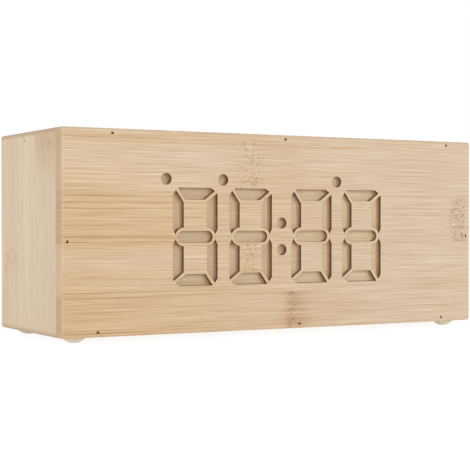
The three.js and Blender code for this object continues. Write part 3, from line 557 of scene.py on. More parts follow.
def bamboo(
    name,
    along,
    across,
    origin,
    first_line,
    pale,
    warm,
    warmths,
    lines,
    reach,
    seed,
    knuckles,
    contrast=1,
    end_pales=((0, 0.1), (1, 0.1)),
    ends=(0.6, 0.8),
    bared=0,
    nails=(),
):
    """Flat-pressed bamboo: strips side by side across the board, their fibres and knuckles along it.

    Places are millimetres from the board's origin. The warmths say across the board how far the origin's
    end goes from the pale to the warm colour, which fades out over the reach. Lines are (place, strength)
    of long dark fibres from that end, and contrast is how much the other fibres differ. End grain shows
    on faces across the fibres, between the two shares of ends, and for some bared length at both ends,
    where painted light from the floor makes it fainter towards the bottom."""
    look = Finish(name)
    parts = look.split(look.place)
    u = look.math("SUBTRACT", parts[along], origin[0])
    v = look.math("SUBTRACT", parts[across], origin[1])
    w = parts[3 - along - across]
    row = look.math("DIVIDE", look.math("SUBTRACT", v, first_line), strip_width)
    strip = look.math("FLOOR", row)
    chance = look.chance(look.math("ADD", strip, seed))

    def stretched(length, width, shift=0.0, across_place=v):
        """Noise drawn out along the grain."""
        return look.noise(
            look.bring(
                look.math("DIVIDE", u_own, length),
                look.math("DIVIDE", across_place, width),
                look.math("MULTIPLY_ADD", w, 1 / width, seed + shift),
            )
        )

    # Fibres drift a little, and bulge round each knuckle
    u_own = look.math("MULTIPLY_ADD", chance[0], 700, u)
    drift = look.math("SUBTRACT", stretched(110, 15), 0.5)
    v_bent = look.math("MULTIPLY_ADD", drift, 0.9, v)
    ripple = look.math("SUBTRACT", stretched(4, 2.6, 7), 0.5)
    bells = []
    for each in knuckles:
        away = look.math("DIVIDE", look.math("SUBTRACT", u, each.u), each.halo)
        above = look.rise(v, each.low - knuckle_fade, each.low + knuckle_fade)
        below = look.rise(v, each.high + knuckle_fade, each.high - knuckle_fade)
        bell = look.math("MULTIPLY", look.bell(away), look.math("MULTIPLY", above, below))
        lift = look.math("MULTIPLY", ripple, each.bulge)
        v_bent = look.math("MULTIPLY_ADD", bell, lift, v_bent)
        bells.append(bell)

    # Fibres of several widths, from the lightest to the darkest
    broad = stretched(130, 4.5, 11, v_bent)
    middling = stretched(80, 1.3, 23, v_bent)
    fine = stretched(34, 0.27, 37, v_bent)
    hair = stretched(12, 0.19, 41, v_bent)
    tone = look.math("MULTIPLY_ADD", broad, 0.06, look.math("MULTIPLY", middling, 0.04))
    tone = look.math("MULTIPLY_ADD", fine, 0.53, tone)
    tone = look.math("MULTIPLY_ADD", hair, 0.37, tone)
    spread = 0.15 / contrast
    grain = look.mix(look.span(tone, 0.5 - spread, 0.5 + spread, 0, 1), darkest_fibre, lightest_fibre)

    # Warm at one end, paler at the other, with soft patches
    height = (casing_high.z - casing_low.z) / mm
    share = look.math("DIVIDE", v, height)
    fade = look.span(u, 0, reach, 1, 0)
    warmth = look.levels(share, [(place / height, level) for place, level in warmths])
    patch = look.math("SUBTRACT", stretched(45, 9, 3), 0.5)
    warm_share = look.math("MULTIPLY_ADD", warmth, fade, look.math("MULTIPLY", patch, 0.6))
    warm_share = look.math("MULTIPLY_ADD", chance[1], 0.1, warm_share, clamp=True)
    shade = look.mix(1, look.mix(warm_share, colour(pale), colour(warm)), grain, blend="MULTIPLY")

    # Long dark fibres, strongest at the warm end
    waver = look.math("SUBTRACT", stretched(60, 1.5, 67), 0.5)
    v_line = look.math("MULTIPLY_ADD", waver, 0.5, v)
    total = 0
    for place, strength in lines:
        away = look.math("MULTIPLY_ADD", v_line, 1 / line_half, -place / line_half)
        total = look.math("MULTIPLY_ADD", look.bell(away), strength, total)
    broken = look.span(stretched(18, 1.1, 71), 0.35, 0.65, 0.5, 1.1)
    line_share = look.math("MULTIPLY", look.math("MULTIPLY", total, broken), fade, clamp=True)
    shade = look.mix(line_share, shade, colour("cdb086"), blend="MULTIPLY")

    # Knuckles: a tinted halo that follows the fibres, and short dark and pale marks where they break off;
    # the pale marks are partly paler fibre and partly painted highlight beside the dark ones.
    for each, bell in zip(knuckles, bells):
        long, wide = each.size
        strength = look.span(fine, 0.3, 0.7, 1.4 * each.tint, 0.5 * each.tint)
        shade = look.mix(look.math("MULTIPLY", bell, strength), shade, colour(each.shade), blend="MULTIPLY")
        if not each.fleck:
            continue
        away = look.math("ABSOLUTE", look.math("SUBTRACT", u, each.u))
        core = look.rise(away, 1.2 * each.core, 0.3 * each.core)
        core = look.math("MULTIPLY", core, look.rise(bell, 0, 0.3))
        core = look.math("MULTIPLY", core, each.fleck)
        slanted = look.math("MULTIPLY_ADD", away, -each.slant, v_bent)
        across_marks = look.math("DIVIDE", slanted, wide)
        marks = look.noise(look.bring(look.math("DIVIDE", u, long), across_marks, seed + each.u), detail=1)
        dark = look.math("MULTIPLY", look.rise(marks, 0.49, 0.35), core)
        shade = look.mix(dark, shade, colour(each.dash), blend="MULTIPLY")
        # Pale marks: partly paler fibre, partly a painted highlight beside the dark marks.
        light = look.math("MULTIPLY", look.rise(marks, 0.54, 0.68), look.math("MULTIPLY", core, 0.4))
        shade = look.mix(light, shade, colour("f0e2c8"))

    # Glue line between strips
    edge = look.math("PINGPONG", row, 0.5)
    line = look.math("MULTIPLY", look.rise(edge, 0.012, 0.002), look.math("MULTIPLY", broad, 0.5))
    shade = look.mix(line, shade, colour("d3b994"), blend="MULTIPLY")

    # Ends of the fibres on faces across the grain
    across_grain = look.math("ABSOLUTE", look.split(look.facing)[along])
    bundles = look.cells(look.bring(look.math("DIVIDE", v, 0.55), look.math("DIVIDE", w, 0.35), seed))
    streaks = look.noise(look.bring(look.math("DIVIDE", v, 0.9), look.math("DIVIDE", w, 5), seed), 3)
    end_shade = look.blend(bundles, 0.45, 0.15, "b99a7a", "a68667")
    end_shade = look.mix(look.rise(streaks, 0.4, 0.65), end_shade, colour("c0a284"))
    end_pale = look.levels(share, [(place / height, level) for place, level in end_pales])
    end_shade = look.mix(end_pale, end_shade, colour("d8bf98"))
    end_grain = look.rise(across_grain, *ends)
    if bared:
        from_end = look.math("PINGPONG", u, height / 2)
        # Painted light: the bared band fades towards the bottom, as if lit from the floor below.
        rub_less_below_painted_light = look.span(u, 0, height, 0.45, 0.75)
        rubbed_and_painted_light = look.math("MULTIPLY", look.rise(from_end, bared, 0.6 * bared), rub_less_below_painted_light)
        end_grain = look.math("MAXIMUM", end_grain, rubbed_and_painted_light)
    shade = look.mix(end_grain, shade, end_shade)

    # Dark stain where a nail has bruised the wood
    if nails:
        stain = look.math("MULTIPLY", fine, 1.4)
        stain = look.math("MULTIPLY", look.near(nails, stain_reach), stain, clamp=True)
        shade = look.mix(stain, shade, colour("a67c48"), blend="MULTIPLY")
    return look.cover(shade, look.span(tone, 0.35, 0.65, 0.58, 0.46), tone, grain_relief)


right_marks = {"core": 2.1, "fleck": 0.75, "dash": "bfa090", "size": (1.0, 0.55), "slant": 0.8}
front_bamboo = bamboo(
    "front_bamboo",
    along=X,
    across=Z,
    origin=front_origin,
    first_line=13.3,
    pale="efddc5",
    warm="eacca2",
    warmths=[
        (0, 1.0),
        (15, 0.95),
        (17.5, 0.7),
        (19.5, 0.9),
        (22, 0.6),
        (25, 0.35),
        (28, 0.45),
        (30.8, 1.0),
        (46, 0.95),
        (49, 0.7),
        (52, 0.55),
        (56, 0.3),
        (62, 0.15),
        (65, 0.4),
        (67, 0.8),
        (69, 0.4),
    ],
    lines=[
        (1.3, 0.55),
        (2.3, 0.3),
        (9.6, 0.3),
        (13.0, 0.45),
        (14.8, 0.45),
        (19.2, 0.35),
        (21.9, 0.25),
        (31.7, 0.95),
        (33.1, 0.5),
        (33.8, 0.7),
        (37.4, 0.4),
        (40.1, 0.5),
        (43.1, 0.6),
        (45.1, 0.7),
        (47.3, 0.8),
        (48.9, 0.4),
        (67.0, 0.55),
        (68.4, 0.35),
    ],
    reach=125,
    contrast=0.85,
    knuckles=[
        Knuckle(72.5, 50, 67, 8, 0.1, "e0cbb0", core=5.5, fleck=0.45, dash="c6b292", size=(0.8, 0.9)),
        Knuckle(89, 49, 66, 7, 0.12, "e6c9b4", bulge=2),
        Knuckle(72, 17, 30.5, 5, 0.12, "ecc896", core=3, fleck=0.65, dash="dcb078", size=(1.1, 0.7)),
        Knuckle(91.5, 0, 13.3, 5.5, 0.5, "dabaa2", bulge=1),
        Knuckle(89.2, 0, 13, 2.5, 0.2, "dcc2a8", core=1.8, fleck=0.6, dash="b0937a", size=(0.7, 0.7)),
        Knuckle(164.6, 31, 48, 3, 0.12, "e0c4b0", **right_marks),
        Knuckle(168.4, 31, 48, 3, 0.18, "e0c4b0", **right_marks),
    ],
    end_pales=[(0, 0.2), (13, 0.2), (15, 0.7), (30, 0.6), (32, 0.1), (48, 0.1), (50, 0.4), (70, 0.2)],
    nails=[(middle(name).x, middle(name).z) for name in front_brads],
    seed=1,
)


def singed_wall_painted_light():
    """Laser-cut wall: burnt dark at the rim, where the beam enters, brown further in, and pale cream near
    the floor, which is painted light that lifts the shade deep in the cut.
    """
    look = Finish("singed_wall_painted_light")
    depth = look.math("SUBTRACT", look.split(look.place)[Y], front_low.y / mm)
    scorch = look.drawn(0.7, 3, 0.7, detail=3)
    ragged = look.math("MULTIPLY_ADD", look.math("SUBTRACT", scorch, 0.5), 1.2, depth)
    shade = look.blend(ragged, 0.2, 1.5, "63432b", "bb9b76")
    # Painted light: pale cream deep in the cut stands in for light that the narrow recess keeps out.
    shade = look.mix(look.rise(ragged, 1.1, 2.6), shade, colour("edd8b8"))
    return look.cover(shade, look.span(scorch, 0.3, 0.7, 0.7, 0.9), scorch, relief=0.03 * mm)


def fit(made, body, slot, *nodes):
    """Makes a new piece move with a body and hides the nodes that it stands for. The slot is not used."""
    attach(made, body)
    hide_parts(*nodes)


front = piece("front_board", front_board(), front_bamboo, singed_wall_painted_light())
level_faces(front)
fit(front, "casing", "bamboo", "front_panel")

# End boards: the same bamboo with its grain upright, glued and nailed behind the front board. Their
# outer edges are sanded round with the others, which bares darker end grain above and below; painted
# light from the floor makes that band fainter below.
end_origin = (casing_low.z / mm, casing_low.y / mm)
end_bamboos = {
    "left": bamboo(
        "left_bamboo",
        along=Z,
        across=Y,
        origin=end_origin,
        first_line=5,
        pale="ecdfc6",
        warm="e6d0b6",
        warmths=[(0, 0.4), (10, 0.35), (18, 0.2), (30, 0.0), (38, 0.2), (46, 0.7), (58, 0.5)],
        lines=[(12.3, 0.12), (26.0, 0.1), (45.2, 0.12)],
        reach=300,
        knuckles=[
            Knuckle(66, 4.5, 22.5, 9, 0.4, "dcbda2", core=4, fleck=0.3, dash="c6a48a", size=(3.5, 0.7)),
            Knuckle(25, 40, 54, 8, 0.1, "e6c8b2", core=5, fleck=0.3, dash="c9a88c", size=(3.5, 0.7)),
        ],
        ends=(0.05, 0.3),
        bared=2.0,
        contrast=0.5,
        seed=40,
    ),
    "right": bamboo(
        "right_bamboo",
        along=Z,
        across=Y,
        origin=end_origin,
        first_line=8,
        pale="eedcc0",
        warm="e5c8a2",
        warmths=[(0, 0.5), (14, 0.75), (32, 0.3), (50, 0.6)],
        lines=[(9.4, 0.3), (21.0, 0.25), (36.7, 0.4), (51.5, 0.3)],
        reach=300,
        knuckles=[Knuckle(22, 25.5, 43, 8, 0.3, "dcc0a6", fleck=0.35, dash="c6a890", size=(1.2, 0.7))],
        ends=(0.05, 0.3),
        bared=2.0,
        contrast=0.6,
        seed=60,
    ),
}
for side, finish in end_bamboos.items():
    end_board = piece(
        f"{side}_board",
        carved(board(f"{side}_panel"), [brad_slot(f"end_brad_{side}")]),
        finish,
    )
    level_faces(end_board)
    fit(end_board, "casing", "bamboo", f"{side}_panel")

# Top and bottom boards: bamboo with its grain along the clock, glued between the end boards and nailed
# through the front and the ends.
level_origin = (casing_low.x / mm, casing_low.y / mm)
for side, seed in (("top", 80), ("bottom", 100)):
    level_bamboo = bamboo(
        f"{side}_bamboo",
        along=X,
        across=Y,
        origin=level_origin,
        first_line=9,
        pale="ead7ba",
        warm="e0c399",
        warmths=[(0, 0.7), (8, 0.6), (12, 0.3), (25, 0.4), (28, 0.9), (43, 0.8), (46, 0.4)],
        lines=[(6.2, 0.4), (13.5, 0.3), (28.2, 0.7), (31.5, 0.5), (38.8, 0.6), (49.0, 0.4)],
        reach=260,
        knuckles=[
            Knuckle(52, 26.5, 44, 7, 0.35, "dcc0a6", fleck=0.5, dash="c6a890", size=(1.1, 0.7)),
            Knuckle(128, 9, 26.5, 7, 0.25, "e0c8ac", fleck=0.45, size=(0.9, 0.7)),
        ],
        seed=seed,
    )
    level_board = piece(f"{side}_board", board(f"{side}_panel"), level_bamboo)
    level_faces(level_board)
    fit(level_board, "casing", "bamboo", f"{side}_panel")

# Corner blocks: four short lengths of sawn softwood, square in section, with their grain from front to
# back. They are glued in the rear corners to take the rear board's screws.
block_edge = 0.3 * mm
softwood = Finish("softwood")
rings = softwood.drawn(1.4, 30, 1.4, detail=3)
softwood.cover(
    softwood.blend(rings, 0.35, 0.65, "b9966a", "d9c096"),
    softwood.span(rings, 0.3, 0.7, 0.8, 0.65),
    rings,
    relief=0.1 * mm,
)


def refine(node, finish, edge):
    """Gives a node of the model its finish, with its sharp edges eased."""
    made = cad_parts[node]
    made.data.materials.clear()
    made.data.materials.append(finish)
    weld = made.modifiers.new("weld", "WELD")
    weld.merge_threshold = speck
    merging = made.modifiers.new("merge flat faces", "DECIMATE")
    merging.decimate_type = "DISSOLVE"
    merging.angle_limit = flat_angle
    easing = made.modifiers.new("ease", "BEVEL")
    easing.width = edge
    easing.segments = 2
    easing.limit_method = "ANGLE"
    easing.angle_limit = smooth_angle
    easing.use_clamp_overlap = True
    level_faces(made)


for i in range(4):
    refine(f"corner_block_{i + 1}", softwood.material, block_edge)

# Brads: browned steel nails without heads, driven in along the edges and sunk a little. Their ends look
# like small dark dots.
brad_edge = 0.08 * mm


def mottled(name, waves, dark, light, sheen, relief, detail=3, turn=(0.35, 0.65), **settings):
    """A finish with one soft mottle of two colours, whose roughness and relief follow it."""
    look = Finish(name, **settings)
    mottle = look.speckle(waves, detail)
    return look.cover(
        look.blend(mottle, *turn, dark, light),
        look.span(mottle, 0.3, 0.7, *sheen),
        mottle,
        relief,
    )


brown_steel = mottled(
    "brown_steel",
    waves=2.5,
    dark="4c2c0a",
    light="6e4214",
    sheen=(0.6, 0.85),
    relief=0.02 * mm,
    turn=(0.4, 0.65),
    Specular_IOR_Level=0.2,
)
for name in brads:
    refine(name, brown_steel, brad_edge)

# Feet: four soft domes with a small flat at the bottom, cast in cream silicone that lets some light
# through. They are stuck under the bottom board's corners.
foot_diameter = 8 * mm
foot_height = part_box("foot_front_left")[1].z
foot_rim = 0.3 * mm
foot_flat = 2.4 * mm
dome_steps = 12
fillet_steps = 5


def lathe(profile):
    """A body turned about the Y axis from (radius, y) points that start and end on the axis."""
    shape = bmesh.new()
    steps = 2 * round_steps
    angles = [math.tau * i / steps for i in range(steps)]
    rings = []
    for radius, y in profile:
        spokes = angles if radius else angles[:1]
        rings.append([shape.verts.new((radius * math.cos(a), y, radius * math.sin(a))) for a in spokes])
    for near, far in zip(rings, rings[1:]):
        for i in range(steps):
            j = (i + 1) % steps
            corners = (near[i % len(near)], near[j % len(near)], far[j % len(far)], far[i % len(far)])
            shape.faces.new(list(dict.fromkeys(corners)))
    bmesh.ops.recalc_face_normals(shape, faces=shape.faces[:])
    return shape


def quarter(radius, y, bend, rise):
    """Points of a quarter round that starts at a radius and height and turns in by a bend as it rises."""
    turns = [math.pi / 2 * i / fillet_steps for i in range(fillet_steps + 1)]
    return [(radius - bend * (1 - math.cos(a)), y + rise * math.sin(a)) for a in turns]


def upper_rim(radius, y, bend):
    """Points that go round a turned body's rim up to the face at y."""
    return quarter(radius, y - bend, bend, bend)


def lower_rim(radius, y, bend):
    """Points that go round a turned body's rim up from the face at y, or up a fillet if bend is below 0."""
    return quarter(radius, y + abs(bend), bend, -abs(bend))[::-1]


def foot_profile():
    """Turned from the rim at Y = 0 down to a small flat at the foot's height."""
    rim, flat, rise = foot_diameter / 2, foot_flat / 2, foot_height - foot_rim
    centre = (rim * rim - flat * flat - rise * rise) / (2 * rise)
    radius = math.hypot(rim, centre)
    start, end = math.asin(rim / radius), math.asin(flat / radius)
    turns = [start + (end - start) * i / dome_steps for i in range(dome_steps + 1)]
    dome = [(radius * math.sin(a), foot_rim + radius * math.cos(a) - centre) for a in turns]
    return [(0, 0), (rim, 0), *dome, (0, foot_height)]


silicone = mottled(
    "silicone",
    waves=0.6,
    dark="e9dec3",
    light="ede6d4",
    sheen=(0.3, 0.42),
    relief=0.02 * mm,
    detail=2,
    Subsurface_Weight=0.4,
    Subsurface_Radius=(1.0, 0.9, 0.7),
    Subsurface_Scale=1.5 * mm,
)
for side in ("front_left", "front_right", "rear_left", "rear_right"):
    foot = piece(f"clear_foot_{side}", turned(lathe(foot_profile()), -math.pi / 2, "X"), silicone)
    foot.location = middle(f"foot_{side}")
    foot.location.z = foot_height
    fit(foot, "casing", "clear_rubber", f"foot_{side}")

# Diffuser: a thin sheet of opal plastic in the front board's pocket, toned like the wood so that the
# cut-outs stay quiet while the digits are dark.
sheet_edge = 0.1 * mm
opal = Finish("opal", Subsurface_Weight=0.15, Subsurface_Radius=(1.0, 0.9, 0.7), Subsurface_Scale=1 * mm)
brushing = opal.drawn(14, 0, 0.5, detail=2)
opal_shade = opal.blend(opal.drawn(5, 0, 3, detail=2), 0.35, 0.65, "e1cda8", "e7d0ae")
opal_shade = opal.mix(opal.rise(brushing, 0.35, 0.65), opal_shade, colour("eedebb"))
# Painted shade: the sheet is darker towards the clock's left end.
left_painted_shade = opal.span(opal.split(opal.place)[X], -50, 40, 1, 0)
opal_shade = opal.mix(left_painted_shade, opal_shade, colour("ebe3e1"), blend="MULTIPLY")
opal.cover(opal_shade, opal.span(brushing, 0.3, 0.7, 0.55, 0.42), brushing, relief=0.02 * mm)
refine("diffuser", opal.material, sheet_edge)

# Light mask: white moulding with a straight well behind each segment and dot, which keeps the light of
# one segment out of the next. Four screws hold it and the display board to the front board.
mould_edge = 0.15 * mm
white_moulding = Finish("white_moulding", Specular_IOR_Level=0.45)
haze = white_moulding.speckle(0.25)
white_moulding.cover(
    white_moulding.blend(haze, 0.35, 0.65, "e6e3da", "f0eee6"),
    white_moulding.span(haze, 0.3, 0.7, 0.5, 0.65),
    white_moulding.speckle(4, detail=2),
    relief=0.02 * mm,
)
refine("light_mask", white_moulding.material, mould_edge)

# Circuit boards: glass-fibre sheet under green solder mask, with fine etched tracks and plated pads.
# Lamps, a chip, a crystal and sockets are soldered on, and their depth in Y tells their colours apart.
board_thickness = 1.6 * mm
chip_reach = 2.8 * mm
circuit_edge = 0.05 * mm
edge_blur = 0.05
display_board_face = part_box("light_mask")[1].y
display_board_back = display_board_face + board_thickness
main_board_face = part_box("main_board")[1].y - board_thickness


def circuit(name, stands):
    """Solder mask, and what stands on it: a depth, the side of it that is meant and a colour for each."""
    look = Finish(name, Specular_IOR_Level=0.5)
    depth = look.split(look.place)[Y]
    track = look.cells(look.vector("DIVIDE", look.place, (3, 0, 3)), randomness=0.35)
    mottle = look.speckle(0.3, detail=2)
    shade = look.blend(mottle, 0.35, 0.65, "1c6a44", "237a50")
    shade = look.mix(look.rise(track, 0.42, 0.36), shade, colour("2c8a5c"))
    shade = look.mix(look.rise(track, 0.12, 0.09), shade, colour("c9bf98"))
    for limit, side, code in stands:
        level = side * limit / mm
        past = look.rise(look.math("MULTIPLY", depth, side), level, level + edge_blur)
        shade = look.mix(past, shade, colour(code))
    return look.cover(shade, look.span(mottle, 0.3, 0.7, 0.32, 0.45), track, relief=0.02 * mm)


display_green = circuit(
    "display_green",
    [(display_board_face, -1, "efe9c8"), (display_board_back, 1, "202022")],
)
main_green = circuit(
    "main_green",
    [(main_board_face, -1, "1f1f21"), (main_board_face - chip_reach, -1, "9b9ca0")],
)
refine("display_board", display_green, circuit_edge)
refine("main_board", main_green, circuit_edge)

# Screws: zinc-plated steel with a cross recess. Pan heads hold the display and the main board, and flat
# heads, countersunk flush, hold the rear board to the corner blocks.
pan_head = (5 * mm, 1.8 * mm)
pan_rim_share = 0.35
pan_rim_edge = 0.1 * mm
pan_shank = 2.4 * mm
pan_neck = 0.4 * mm
flat_head = (5.6 * mm, 1.7 * mm)
flat_rim = 0.15 * mm
flat_rim_edge = 0.05 * mm
flat_shank = 2.8 * mm
flat_neck = 2 * mm
screw_tip = 2.2 * mm
thread_pitch = 0.9 * mm
thread_depth = 0.28 * mm
cross_arm = 3.2 * mm
cross_bottom_arm = 2 * mm
cross_slot = 0.85 * mm
cross_bottom_slot = 0.7 * cross_slot
cross_depth = 1.1 * mm
cross_turn = math.radians(37)


def thread(shank, start, end):
    """Ridges of a shank between two depths, from the deeper one up."""
    count = round((end - start) / thread_pitch)
    step = (end - start) / count
    points = []
    for i in range(count):
        points += [(shank / 2 - thread_depth, start + step * i), (shank / 2, start + step * (i + 0.5))]
    return points + [(shank / 2 - thread_depth, end)]


def recess_slot(top, turn):
    """One slot of the cross, which narrows as it goes down, turned about the screw's axis."""
    shape = bmesh.new()
    rings = []
    for arm, slot, y in (
        (cross_bottom_arm, cross_bottom_slot, top - cross_depth),
        (cross_arm, cross_slot, top),
        (cross_arm, cross_slot, top + overrun),
    ):
        corners = rectangle(-arm / 2, arm / 2, -slot / 2, slot / 2)
        rings.append([shape.verts.new((x, y, z)) for x, z in corners])
    shape.faces.new(rings[0])
    shape.faces.new(rings[-1])
    for low, high in zip(rings, rings[1:]):
        for i in range(4):
            shape.faces.new((low[i], low[i - 1], high[i - 1], high[i]))
    bmesh.ops.recalc_face_normals(shape, faces=shape.faces[:])
    return turned(shape, turn, "Y")


def crossed(profile, top):
    """A screw turned from its profile, with a cross recess in its head on the second finish, which is
    darker with duller plating and painted shade.
    """
    screw = carved(lathe(profile), [recess_slot(top, turn) for turn in (0, math.pi / 2)])
    screw.normal_update()
    for face in screw.faces:
        centre = face.calc_center_median()
        inward = face.normal.x * centre.x + face.normal.z * centre.z < -speck
        at_bottom = abs(centre.y - top + cross_depth) < speck
        if top - cross_depth - speck < centre.y < top - speck and (inward or at_bottom):
            face.material_index = 1
    return screw


def pan_screw(length):
    """Head on Y = 0, shank towards -Y."""
    head, height = pan_head[0] / 2, pan_head[1]
    rim = height * pan_rim_share
    profile = [
        (0, -length),
        *thread(pan_shank, screw_tip - length, -pan_neck),
        (pan_shank / 2, 0),
        (head - pan_rim_edge, 0),
        (head, pan_rim_edge),
        *quarter(head, rim, height - rim, height - rim),
        (0, height),
    ]
    return crossed(profile, height)


def flat_screw(length):
    """Head flush with Y = 0, shank towards -Y."""
    head, height = flat_head[0] / 2, flat_head[1]
    profile = [
        (0, -length),
        *thread(flat_shank, screw_tip - length, -height - flat_neck),
        (flat_shank / 2, -height),
        (head, -flat_rim),
        (head - flat_rim_edge, 0),
        (0, 0),
    ]
    return crossed(profile, 0)


plated_steel = Finish("plated_steel", Metallic=1.0)
x, y, z = plated_steel.split(plated_steel.place)
from_axis = plated_steel.vector("LENGTH", plated_steel.bring(x, 0, z))
turning = plated_steel.noise(plated_steel.bring(plated_steel.math("MULTIPLY", from_axis, 9), y))
smudge = plated_steel.speckle(0.8)
plated_steel.cover(
    plated_steel.blend(smudge, 0.35, 0.7, "b9babd", "cfcdc6"),
    plated_steel.span(smudge, 0.3, 0.7, 0.28, 0.42),
    turning,
    relief=0.01 * mm,
)
# The cross recess is darker: duller plating there, and painted shade.
dull_recess_painted_shade = mottled(
    "dull_recess_painted_shade",
    waves=2,
    dark="55545a",
    light="737278",
    sheen=(0.5, 0.7),
    relief=0.01 * mm,
    Metallic=0.7,
)


def drive(name, node, screw, head_height, turn=0.0):
    """Puts a screw of a kind in a node's place, turned about Z, and about its axis by where it stands."""
    low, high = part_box(node)
    made = piece(name, screw(high.y - low.y - head_height), plated_steel.material, dull_recess_painted_shade)
    made.location = middle(node)
    made.location.y = low.y + head_height if turn else high.y - head_height
    made.rotation_euler = (0, cross_turn * made.location.x / mm, turn)
    fit(made, "casing", "screw_steel", node)


for i in range(4):
    drive(f"mask_screw_{i + 1}", f"display_screw_{i + 1}", pan_screw, pan_head[1])
for i in range(2):
    drive(f"circuit_screw_{i + 1}", f"board_screw_{i + 1}", pan_screw, pan_head[1], turn=math.pi)
for i in range(4):
    drive(f"wood_screw_{i + 1}", f"rear_screw_{i + 1}", flat_screw, 0)

# Bracket: a white moulded frame glued inside the rear board, with four posts that the main board rests
# on. Two screws hold the board down on it.
refine("board_bracket", white_moulding.material, mould_edge)

# Switches and buzzer: black mouldings soldered on the main board. Each switch is a block with a round
# well for the plunger that its button presses, and the buzzer is a can with a hole in its lid.
plunger_diameter = 3.5 * mm
plunger_round = 0.4 * mm
well_room = 0.3 * mm
well_floor = 0.6 * mm
switch_edge = 0.2 * mm
buzzer_diameter = 12 * mm
buzzer_round = 0.6 * mm
buzzer_hole = 2 * mm
buzzer_hole_depth = 2.5 * mm
black_moulding = Finish("black_moulding", Specular_IOR_Level=0.4)
sheen = black_moulding.speckle(0.12, detail=2)
black_moulding.cover(
    black_moulding.blend(sheen, 0.3, 0.7, "1d1d1f", "29292b"),
    black_moulding.span(sheen, 0.3, 0.7, 0.46, 0.6),
    black_moulding.speckle(3.5),
    relief=0.03 * mm,
)


def depth_of(node):
    low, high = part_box(node)
    return high.y - low.y


def front_middle(node):
    """The middle of the side of a node that faces the clock's front."""
    place = middle(node)
    place.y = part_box(node)[0].y
    return place


def turned_piece(name, node, body, profile):
    """A black piece turned from a profile whose Y = 0 is at the front of the node that it replaces."""
    made = piece(name, lathe(profile), black_moulding.material)
    made.location = front_middle(node)
    fit(made, body, "black_plastic", node)


for key in ("set", "up", "down"):
    block = box_body(*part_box(f"switch_{key}"))
    ease_sharp_edges(block, switch_edge)
    bore, top = plunger_diameter / 2 + well_room, depth_of(f"switch_{key}") + overrun
    well = lathe([(0, well_floor), (bore, well_floor), (bore, top), (0, top)])
    block = carved(block, [moved(well, front_middle(f"switch_{key}"))])
    switch = piece(f"press_switch_{key}", block, black_moulding.material)
    level_faces(switch)
    fit(switch, "casing", "black_plastic", f"switch_{key}")
    stem, length = plunger_diameter / 2, depth_of(f"switch_plunger_{key}")
    turned_piece(
        f"plunger_{key}",
        f"switch_plunger_{key}",
        f"{key}_key",
        [
            (0, 0),
            *lower_rim(stem, 0, plunger_round),
            *upper_rim(stem, length, plunger_round),
            (0, length),
        ],
    )
can, lid = buzzer_diameter / 2, depth_of("buzzer")
turned_piece(
    "buzzer_can",
    "buzzer",
    "casing",
    [
        (0, 0),
        (can, 0),
        *upper_rim(can, lid, buzzer_round),
        (buzzer_hole / 2, lid),
        (buzzer_hole / 2, lid - buzzer_hole_depth),
        (0, lid - buzzer_hole_depth),
    ],
)

# Buttons: three black moulded caps that slide in the rear board's holes, each held in by a flange behind
# it, with a shallow dish for the fingertip.
button_diameter = 6 * mm
button_fillet = 0.6 * mm
button_flange = 1.2 * mm
button_dish = 0.18 * mm
button_dish_radius = 2.1 * mm
button_dish_shares = [1 - i / 4 for i in range(5)]
for key in ("set", "up", "down"):
    low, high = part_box(f"button_{key}")
    cap, flange, depth = button_diameter / 2, (high.x - low.x) / 2, high.y - low.y
    turned_piece(
        f"button_cap_{key}",
        f"button_{key}",
        f"{key}_key",
        [
            (0, 0),
            (flange, 0),
            (flange, button_flange),
            (cap, button_flange),
            *upper_rim(cap, depth, button_fillet),
            *[(button_dish_radius * s, depth - button_dish * (1 - s * s)) for s in button_dish_shares],
        ],
    )

# Power socket: a black moulded block, soldered on the main board, whose round nose fills a hole in the
# rear board. A brass pin stands in its bore.
nose_diameter = 7.4 * mm
bore_diameter = 3.9 * mm
bore_depth = 9 * mm
nose_edge = 0.3 * mm
pin_diameter = 1.3 * mm
pin_sink = 1.5 * mm
pin_round = 0.45 * mm
nose_length = 4.5 * mm
socket_length = depth_of("power_socket")
socket_half = middle("power_socket").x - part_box("power_socket")[0].x
nose, bore, pin = nose_diameter / 2, bore_diameter / 2, pin_diameter / 2
bore_floor = socket_length - bore_depth
pin_tip = socket_length - pin_sink


def fused(shapes):
    """Several overlapping bodies as one."""
    return carved(shapes[0], shapes[1:], operation="UNION")


socket_block = box_body(
    Vector((-socket_half, 0, -socket_half)),
    Vector((socket_half, socket_length - nose_length, socket_half)),
)
ease_sharp_edges(socket_block, nose_edge)
nose_shape = lathe(
    [
        (0, socket_length - nose_length - overrun),
        (nose, socket_length - nose_length - overrun),
        *upper_rim(nose, socket_length, nose_edge),
        (0, socket_length),
    ]
)
bore_shape = lathe(
    [
        (0, bore_floor),
        (bore, bore_floor),
        (bore, socket_length - nose_edge),
        (bore + nose_edge, socket_length),
        (bore + nose_edge, socket_length + overrun),
        (0, socket_length + overrun),
    ]
)
pin_shape = lathe(
    [
        (0, bore_floor - overrun),
        (pin, bore_floor - overrun),
        *upper_rim(pin, pin_tip, pin_round),
        (0, pin_tip),
    ]
)
for face in pin_shape.faces:
    face.material_index = 1
brass = mottled(
    "brass",
    waves=1.5,
    dark="c9bd9a",
    light="d8cfb4",
    sheen=(0.25, 0.4),
    relief=0.01 * mm,
    Metallic=1.0,
)
socket = piece(
    "power_inlet",
    joined([carved(fused([socket_block, nose_shape]), [bore_shape]), pin_shape]),
    black_moulding.material,
    brass,
)
socket.location = front_middle("power_socket")
fit(socket, "casing", "black_plastic", "power_socket")

# Ribbon cable: ten wires in grey vinyl side by side, the first one red, as one flat strip. It is plugged
# on both boards and bent in an S from the display board down to the main board.
wire_count = 10
wire_radius = 0.45 * mm
wire_steps = 6
web_half = 0.24 * mm
ribbon_lead = 2 * mm
bend_steps = 16
low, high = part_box("ribbon_cable")
wire_pitch = (high.x - low.x) / wire_count
ribbon_bend = (high.y - low.y) / 2 - ribbon_lead


